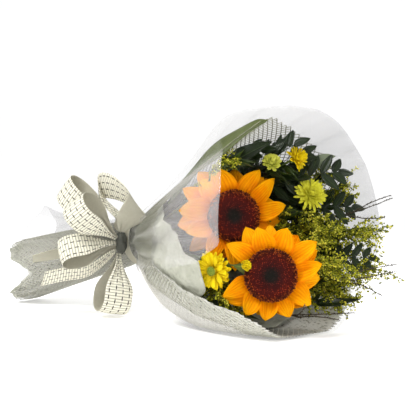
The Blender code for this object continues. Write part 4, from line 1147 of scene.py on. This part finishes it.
sage = Finish("sage_paper", roughness=0.85, specular_ior_level=0.2)
fibre = sage.clouds(1600, 4)
crumple = sage.clouds(75, 5)
creases = abs(sage.clouds(42, 2) - 0.5) * 2
sage_tone = sage.between(sage.held(fibre * 0.35 + crumple * 0.9 - 0.2), tint(166, 168, 150),
                         tint(212, 212, 198))
# Painted shade: the paper darkens towards a deep olive in its fold valleys, by the fold mark.
sage.blend(sage.mark("fold"), sage_tone, tint(84, 86, 66))
sage.relief(crumple * 0.5 + fibre * 0.1 + creases * 1.2, 0.005)
paper = rolled("sage_paper_sheet", 154, 76, PAPER_RIM, TAIL_RIM, paper_spot)
# The fold mark holds the painted shade of the fold valleys.
marked_round(paper, fold=painted_fold_shade)
thickened(paper, PAPER_THICK)
finished(paper, [sage], "paper_wrap")


# The sage net
# Over the paper goes a piece of stiff sage net with small diamond meshes, cut with saw-toothed edges.
# It stands higher than the paper at the mouth, and it is gathered with it at the neck.

STRAND = 0.00055


def net_spot(along, angle, inwards=0.0):
    return wrap_spot(along, angle, NET_INSET, False, 0.7 * outer_push(along, angle) - inwards)


NOTCHES = 150
NOTCH_DEPTH = 0.005
TAIL_MARGIN = 0.004
veil_finish = Finish("sage_veil", roughness=0.85, specular_ior_level=0.15)
across, along = veil_finish.map()
notch = abs((across * NOTCHES).fraction() - 0.5) * 2 * NOTCH_DEPTH
uncut = veil_finish.held((veil_finish.mark("edge") - notch) * 2500)
# Painted shadow: dark irregular specks stand for the shadow between the folded layers of net.
speck = veil_finish.held((veil_finish.clouds(380, 2, veil_finish.where((0.5, 1, 1))) - 0.54) * 9)
net_and_painted_shadow = veil_finish.between(speck * 0.7, tint(222, 221, 212), tint(118, 117, 94))
# Painted shade: the under mark darkens the veil to near black where it turns under the bouquet.
veil_finish.paint({"Base Color": veil_finish.between(veil_finish.mark("under"), net_and_painted_shadow, tint(44, 44, 42)),
                   "Alpha": uncut * veil_finish.mark("veil")})
veil = rolled("sage_net_veil", 144, 54, NET_RIM, TAIL_RIM,
              lambda along, angle: net_spot(along, angle, STRAND * 1.3))


def veil_cover(along, angle):
    """How closely the net is filled: thinly at the top, and nearly shut along the lower front."""
    return 0.92 * min(1, max(0, 1.9 - abs(angle - 262) / 34)) if along > 0 else 0.45


def painted_under_shade(along, angle):
    """How much painted shade darkens a sheet where it turns under the bouquet, close to the table."""
    return lobe(angle, 261, 13) * rising(along, 0.06, 0.05) * rising(-along, -0.30, 0.08)


def veil_edge(along, angle):
    """How far a point is inside the sheet's own edge."""
    return rim(NET_RIM, angle) - along if along > 0 else rim(TAIL_RIM, angle) + along


# The under mark holds painted shade.
marked_round(veil, edge=veil_edge, veil=veil_cover, under=painted_under_shade)
thickened(veil, VEIL_THICK)
finished(veil, [veil_finish])


def netting(name, columns, step, low, high):
    """A net of diamond meshes whose strands run slantwise both ways, kept between two edges."""
    spots, points, faces = {}, [], []

    def place(knot):
        return knot[1] * step, 360 * (knot[0] % columns) / columns

    def held(knot):
        along, angle = place(knot)
        if low < 0:
            return TAIL_MARGIN - rim(TAIL_RIM, angle) < along < high
        return low < along < rim(NET_RIM, angle) - NOTCH_DEPTH

    def spot_of(knot):
        key = place(knot)
        if key not in spots:
            spots[key] = net_spot(*key)
        return spots[key]

    def outward(spot, ahead):
        return spot - TIE - AXIS * (spot - TIE).dot(AXIS)

    def thick(spot, share):
        return STRAND * min(1, 0.28 + 6 * (spot - TIE).length)

    rows = range(int(low / step) - 1, int(high / step) + 3)
    for hand in (-1, 1):
        for start in range(columns):
            knots = [(start + hand * row, row) for row in rows if (start + hand * row + row) % 2 == 0]
            for kept, run in itertools.groupby(knots, held):
                line = [spot_of(knot) for knot in run] if kept else []
                if len(line) > 1:
                    strand(line, outward, thick, points, faces)
    return marked_round(built(name, points, faces), pale=veil_cover)


net_thread = Finish("sage_net", roughness=0.8)
plain_thread = net_thread.between(net_thread.clouds(500), tint(100, 100, 80), tint(150, 150, 128))
net_thread.blend(net_thread.held(net_thread.mark("pale") * 1.1), plain_thread, tint(208, 207, 194))
net = netting("sage_net_sheet", 184, 0.0040, 0.012, 0.290)
finished(net, [net_thread], "net_wrap", smooth=False)
net_tail = netting("sage_net_tail", 96, 0.0036, -0.226, -0.010)
finished(net_tail, [net_thread], smooth=False)


# The clear film
# A sheet of clear crinkled film is rolled over everything. It is taller than the flowers, one side
# stands as a free panel across the first sunflower, and its lower corner stands up at the tail.

def film_spot(along, angle):
    return wrap_spot(along, angle, 0.0, True, outer_push(along, angle))


clear = Finish("clear_film", roughness=0.1, specular_ior_level=0.6)
# Painted highlights: stretched streaks and a painted sheen mark make the clear film whiter and less clear.
painted_glints = clear.clouds(17, 2, clear.where((0.3, 1, 1), (0, -AXIS_LEAN, 0)))
# Painted shade: the under mark darkens the film to near black under the bouquet.
near_film = clear.between(clear.mark("under"), tint(244, 241, 240), tint(40, 40, 40))
# Painted light: near white sheen on the near side, grey painted shade on the far side and the tail's peak.
clear.paint({"Base Color": clear.between(clear.mark("far"), near_film, tint(163, 162, 166)),
             "Alpha": clear.held(clear.mark("haze") + clear.held(painted_glints * 4 - 2.4) * 0.10)})
clear.relief(clear.clouds(22, 2), 0.002)
film = rolled("clear_film_sheet", 180, 84, FILM_RIM, FILM_TAIL_RIM, film_spot)


def far_side(along, angle):
    """How far round to the far side a point of the film is, or to the peak of its tail."""
    if along <= 0:
        return lobe(angle, FILM_PEAK_ANGLE, 40)
    return min(1, max(0, 1.4 - abs((angle - 20 + 180) % 360 - 180) / 75))


def film_haze(along, angle):
    """Painted sheen on the film's folds, free panel, lower front and far side, and painted shade below."""
    ridge = folds(along, angle, *OUTER_FOLDS)
    haze = 0.03 + (ridge**10 * 0.2 + (1 - ridge) ** 14 * 0.1) * fold_depth(along)
    if along <= 0:
        return haze + 0.15 * lobe(angle, FILM_PEAK_ANGLE, 30) * min(1, -along / 0.12)
    haze += 0.19 * far_side(along, angle) * min(1, along / 0.12) + 0.35 * painted_under_shade(along, angle)
    haze += 0.13 * min(rising(angle, 138, 5), rising(-angle, -204, 20)) * rising(along, 0.09, 0.05)
    return haze + 0.17 * rising(angle, 206, 4) * lobe(angle, 222, 18)


# The far mark places the painted grey shade, and the under mark painted shade.
marked_round(film, haze=film_haze, far=far_side, under=painted_under_shade)
thickened(film, FILM_THICK)
finished(film, [clear], "film_wrap")


# The bow
# A 38 mm woven ribbon goes round the neck, is knotted in front, and is folded into five loops and two
# tails. Its face has a fine brown grid with dark stitches on cream, and its back is plain beige.

RIBBON_WIDTH = 0.038
RIBBON_THICK = 0.0008
RIBBON_SKIN = 0.00035
PINCHED = 0.16
KNOT_RADIUS = 0.0068
BAND_SIDES = 16
BOW_RIGHT = Vector((math.sqrt(0.5), math.sqrt(0.5), 0))
BOW_OUT = Vector((math.sqrt(0.5), -math.sqrt(0.5), 0))
BOW_UP = Vector((0, 0, 1))
LINE_PITCH = 0.0037
STITCH_PITCH = 0.0088
STITCH_ROWS = 4
THREADS = 9000

woven = Finish("woven_ribbon", roughness=0.75, specular_ior_level=0.2)
across, along = woven.map()
cross_line = woven.held((abs((along / LINE_PITCH).fraction() - 0.5) - 0.31) * 8)
row = across * STITCH_ROWS / RIBBON_WIDTH
in_row = row.fraction()
stagger = ((row - in_row) * 0.5).fraction()
near_row = woven.held((0.095 - abs(in_row - 0.5)) * 24)
stitch_at = woven.held((0.30 - abs((along / STITCH_PITCH + stagger).fraction() - 0.5)) * 24)
fine_row = woven.held((0.05 - abs(in_row - 0.5)) * 30)
weave = ((across * THREADS).wave() * (along * THREADS).wave()) * 0.5 + 0.5
cream = woven.between(weave * 0.4, tint(252, 249, 232), tint(236, 232, 210))
lined = woven.between(woven.held(cross_line * 0.75 + fine_row * 0.25), cream, tint(132, 122, 94))
woven.blend(near_row * stitch_at, lined, tint(38, 34, 26))
woven.relief(weave * 0.5 + cross_line * 0.5, 0.0004)
plain_back = Finish("ribbon_back", roughness=0.8, specular_ior_level=0.15)
across, along = plain_back.map()
plain_back.blend(plain_back.clouds(260), tint(226, 221, 198), tint(240, 236, 216))
plain_back.relief((across * THREADS).wave() * (along * THREADS).wave(), 0.0003)

band_reach = (wrap_reach(0, 0)[0] + 0.0018) / math.cos(math.pi / BAND_SIDES)
knot = TIE - FAR * (band_reach + RIBBON_THICK + 0.0003 + KNOT_RADIUS)


def bow_spot(right, up, out):
    return knot + BOW_RIGHT * right + BOW_UP * up + BOW_OUT * out


def bow_way(right, up, out):
    return (BOW_RIGHT * right + BOW_UP * up + BOW_OUT * out).normalized()


def drawn_in(ease):
    """A ribbon's half width and how much it is gathered, from 0 in the knot to 1 where it lies open."""
    return RIBBON_WIDTH / 2 * (PINCHED + (1 - PINCHED) * ease), 1 - ease


def ribbon(name, line, steps, node, backwards=False):
    """A length of ribbon. line gives, from 0 to 1, its middle, its crosswise direction, its half width
    and how much it is gathered."""
    lengths = [0.0]
    for i in range(steps):
        lengths.append(lengths[-1] + (line((i + 1) / steps)[0] - line(i / steps)[0]).length)

    def lie(u, v):
        middle, side, half, gather = line(v)
        ahead = (line(min(v + 0.01, 1))[0] - line(max(v - 0.01, 0))[0]).normalized()
        face = side.cross(ahead).normalized()
        s = (1 - 2 * u) if backwards else (2 * u - 1)
        pleat = 0.0030 * gather * math.sin(3 * math.pi * s + 0.4) * (0.3 + 0.7 * min(1, half / 0.012))
        crown = 0.0012 * (1 - s * s) * (1 - gather) * (-1 if backwards else 1)
        return middle + side * half * s + face * (pleat + crown)

    made = named(shaped(14, steps, lie), name)
    for spot in made.data.uv_layers[0].data:
        u, v = spot.uv
        t = v * steps
        k = min(int(t), steps - 1)
        spot.uv = (u * RIBBON_WIDTH, lengths[k] + (lengths[k + 1] - lengths[k]) * (t - k))
    made.data.materials.append(woven.material)
    made.data.materials.append(plain_back.material)
    thickened(made, RIBBON_SKIN, True)
    finished(made, [], node)


def loop_line(root, out, opening, length, gape, pinch=0.2):
    """A loop that leaves the knot, turns over at its far end and comes back."""
    root, out, opening = bow_spot(*root), bow_way(*out), bow_way(*opening)
    opening = (opening - out * opening.dot(out)).normalized()
    side = out.cross(opening)

    def line(t):
        reach = length * max(0.0, math.sin(math.pi * t)) ** 0.9
        swing = gape * math.sin(math.tau * t) + RIBBON_THICK * 4 * (0.5 - t)
        ease = min(1, min(t, 1 - t) / pinch)
        ease = ease * ease * (3 - 2 * ease)
        return root + out * reach + opening * swing / 2, side, *drawn_in(ease)

    return line


def run_line(spots, count, looped):
    """A length of ribbon through a few spots, drawn narrow where it enters the knot."""
    middles = [bow_spot(*p) for p, _ in spots]
    sides = [bow_way(*q) for _, q in spots]

    def line(t):
        step = t * (count - 1)
        f = t * (len(spots) - 1)
        k = min(int(f), len(spots) - 2)
        f -= k
        side = sides[k].lerp(sides[k + 1], f * f * (3 - 2 * f)).normalized()
        ease = min(1, min(step, count - 1 - step if looped else step) / 2.5)
        return between(middles, t), side, *drawn_in(ease)

    return line


knot_line = ((0, -13), (4, -13), (6.6, -8), (6.9, -3), (6.2, 0), (6.9, 3), (6.6, 8), (4, 13), (0, 13))


def knot_skin(u, v):
    radius, height = outline_at(knot_line, v)
    turn = math.tau * u
    radius *= 1 + 0.10 * math.sin(5 * turn + height * 300)
    return bow_spot(radius * math.sin(turn), height, radius * math.cos(turn))


dark_knot = Finish("dark_knot", roughness=0.7)
dark_knot.blend(dark_knot.clouds(220), tint(44, 46, 42), tint(88, 88, 78))
dark_knot.relief(dark_knot.clouds(500), 0.0006)
knot_piece = named(sealed(shaped(24, 32, knot_skin)), "ribbon_knot_fine")
finished(knot_piece, [dark_knot], "ribbon_knot")


def band_line(t):
    turn = math.tau * t
    out = (band_reach + 0.0003) * 1000
    return at(0, out * math.cos(turn), out * math.sin(turn)), AXIS, BAND_WIDTH / 2, 0.15


ribbon("ribbon_band_fine", band_line, 72, "ribbon_band")
LOOPS = (  # number, root, direction, opening, length, gape
    (1, (-0.0064, 0.006, 0.0046), (-0.70, 0.62, 0.35), (-0.35, -0.25, 0.9), 0.076, 0.034),
    (2, (-0.0076, 0.006, -0.003), (-0.72, 0.70, -0.30), (-0.3, -0.3, 0.9), 0.100, 0.026),
    (4, (-0.0070, -0.001, 0.002), (-0.97, -0.18, 0.15), (0, 0.7, 0.7), 0.074, 0.024),
    (5, (-0.003, -0.0142, 0.002), (-0.14, -1.0, 0.14), (0.42, 0.05, 0.9), 0.078, 0.040),
)
for number, *shape in LOOPS:
    ribbon(f"ribbon_loop_{number}_fine", loop_line(*shape), 44, f"ribbon_loop_{number}")
RUNS = (  # piece, stations, whether it returns to the knot, each spot and its crosswise direction
    ("ribbon_loop_3", 17, True, (
        ((-0.0014, 0.0142, 0.0020), (0.9, 0, 0.4)), ((-0.013, 0.044, -0.002), (-0.5, 0.3, 0.8)),
        ((-0.030, 0.071, -0.003), (0.0, 0.8, 0.6)), ((-0.008, 0.073, 0.018), (-0.30, 0.92, 0.25)),
        ((0.022, 0.054, 0.034), (-0.55, 0.80, 0.3)), ((0.013, 0.034, 0.033), (-0.85, 0.25, 0.45)),
        ((0.0016, 0.0142, 0.0056), (-0.9, 0, 0.4)))),
    ("ribbon_tail_1", 9, False, (
        ((-0.0062, -0.0064, -0.0036), (0, 1, 0.3)), ((-0.050, -0.012, -0.026), (0, 0.6, 0.8)),
        ((-0.090, -0.019, -0.036), (0.1, 0.45, 0.88)), ((-0.121, -0.026, -0.040), (0.1, 0.35, 0.93)))),
    ("ribbon_tail_2", 9, False, (
        ((-0.0076, -0.0112, -0.002), (0.2, 0.9, 0.3)), ((-0.043, -0.038, -0.014), (0.1, 0.5, 0.85)),
        ((-0.075, -0.043, -0.012), (0.15, 0.58, 0.8)), ((-0.104, -0.049, -0.008), (0.25, 0.58, 0.77)))),
)
for node, count, looped, spots in RUNS:
    ribbon(node + "_fine", run_line(spots, count, looped), 56, node, node != "ribbon_tail_2")
put_away(*blanks.values())


# The table, the light and the camera
# The bouquet lies on a plain white table under a soft even light, seen from a little above and from
# its mouth's left.

WALL_RADIUS = 7.5
bpy.ops.object.select_all(action="DESELECT")
bpy.ops.mesh.primitive_plane_add(size=16)
table = bpy.context.object
table.name = "white_table"
white = Finish("white_table", roughness=0.9, specular_ior_level=0.1, emission_strength=1.0)
middle_off = white.node("VectorMath", {"operation": "LENGTH"}, {0: white.where()}, "Value")
far_off = white.held(middle_off * 1.2 - 0.8)
white.paint({"Base Color": white.between(far_off, (0.95, 0.95, 0.95), (0, 0, 0)),
             "Emission Color": white.between(far_off, (0.32, 0.32, 0.32), (1, 1, 1))})
table.data.materials.append(white.material)

world = bpy.data.worlds.new("studio")
bpy.context.scene.world = world
world.use_nodes = True
sky = world.node_tree.nodes["Background"].inputs
sky["Color"].default_value = (1, 1, 1, 1)
sky["Strength"].default_value = 0.5
bpy.ops.mesh.primitive_cylinder_add(vertices=64, radius=WALL_RADIUS, depth=WALL_RADIUS,
                                    end_fill_type="NOTHING", location=(0, 0, 3.74))
wall = bpy.context.object
wall.name = "white_wall"
glow = Finish("white_wall", roughness=1.0, emission_strength=1.0)
side_of = glow.node("SeparateXYZ", {}, {"Vector": glow.where()}, 1) / WALL_RADIUS
glow.paint({"Base Color": (0, 0, 0),
            "Emission Color": glow.between(glow.held(side_of + 0.6), (0.3, 0.3, 0.3), (1, 1, 1))})
wall.data.materials.append(glow.material)
LOOK_AT = Vector((0.03167, -0.00944, 0.1526))
for name, power, size, spot in (("key", 50, 1.0, (-0.3, -1.6, 2.0)), ("fill", 14, 1.4, (1.9, -1.2, 1.0)),
                                ("rim", 12, 0.8, (0.3, 1.6, 1.5))):
    lamp = bpy.data.lights.new(name, "AREA")
    lamp.energy, lamp.size = power, size
    shown = placed(bpy.data.objects.new(name, lamp))
    shown.location = spot
    shown.rotation_euler = (LOOK_AT - Vector(spot)).to_track_quat("-Z", "Y").to_euler()
bpy.context.scene.view_settings.view_transform = "Standard"

SIGHT_TURN, SIGHT_RISE = math.radians(45), math.radians(3.5)
SIGHT_DISTANCE = 1.75
SIGHT_LENS = 123.36
sight = Vector((math.sin(SIGHT_TURN) * math.cos(SIGHT_RISE), -math.cos(SIGHT_TURN) * math.cos(SIGHT_RISE),
                math.sin(SIGHT_RISE)))
lens = bpy.data.cameras.new("photo_view")
lens.lens, lens.sensor_width = SIGHT_LENS, 36
camera = placed(bpy.data.objects.new("photo_view", lens))
camera.location = LOOK_AT + sight * SIGHT_DISTANCE
camera.rotation_euler = (-sight).to_track_quat("-Z", "Y").to_euler()
bpy.context.scene.camera = camera
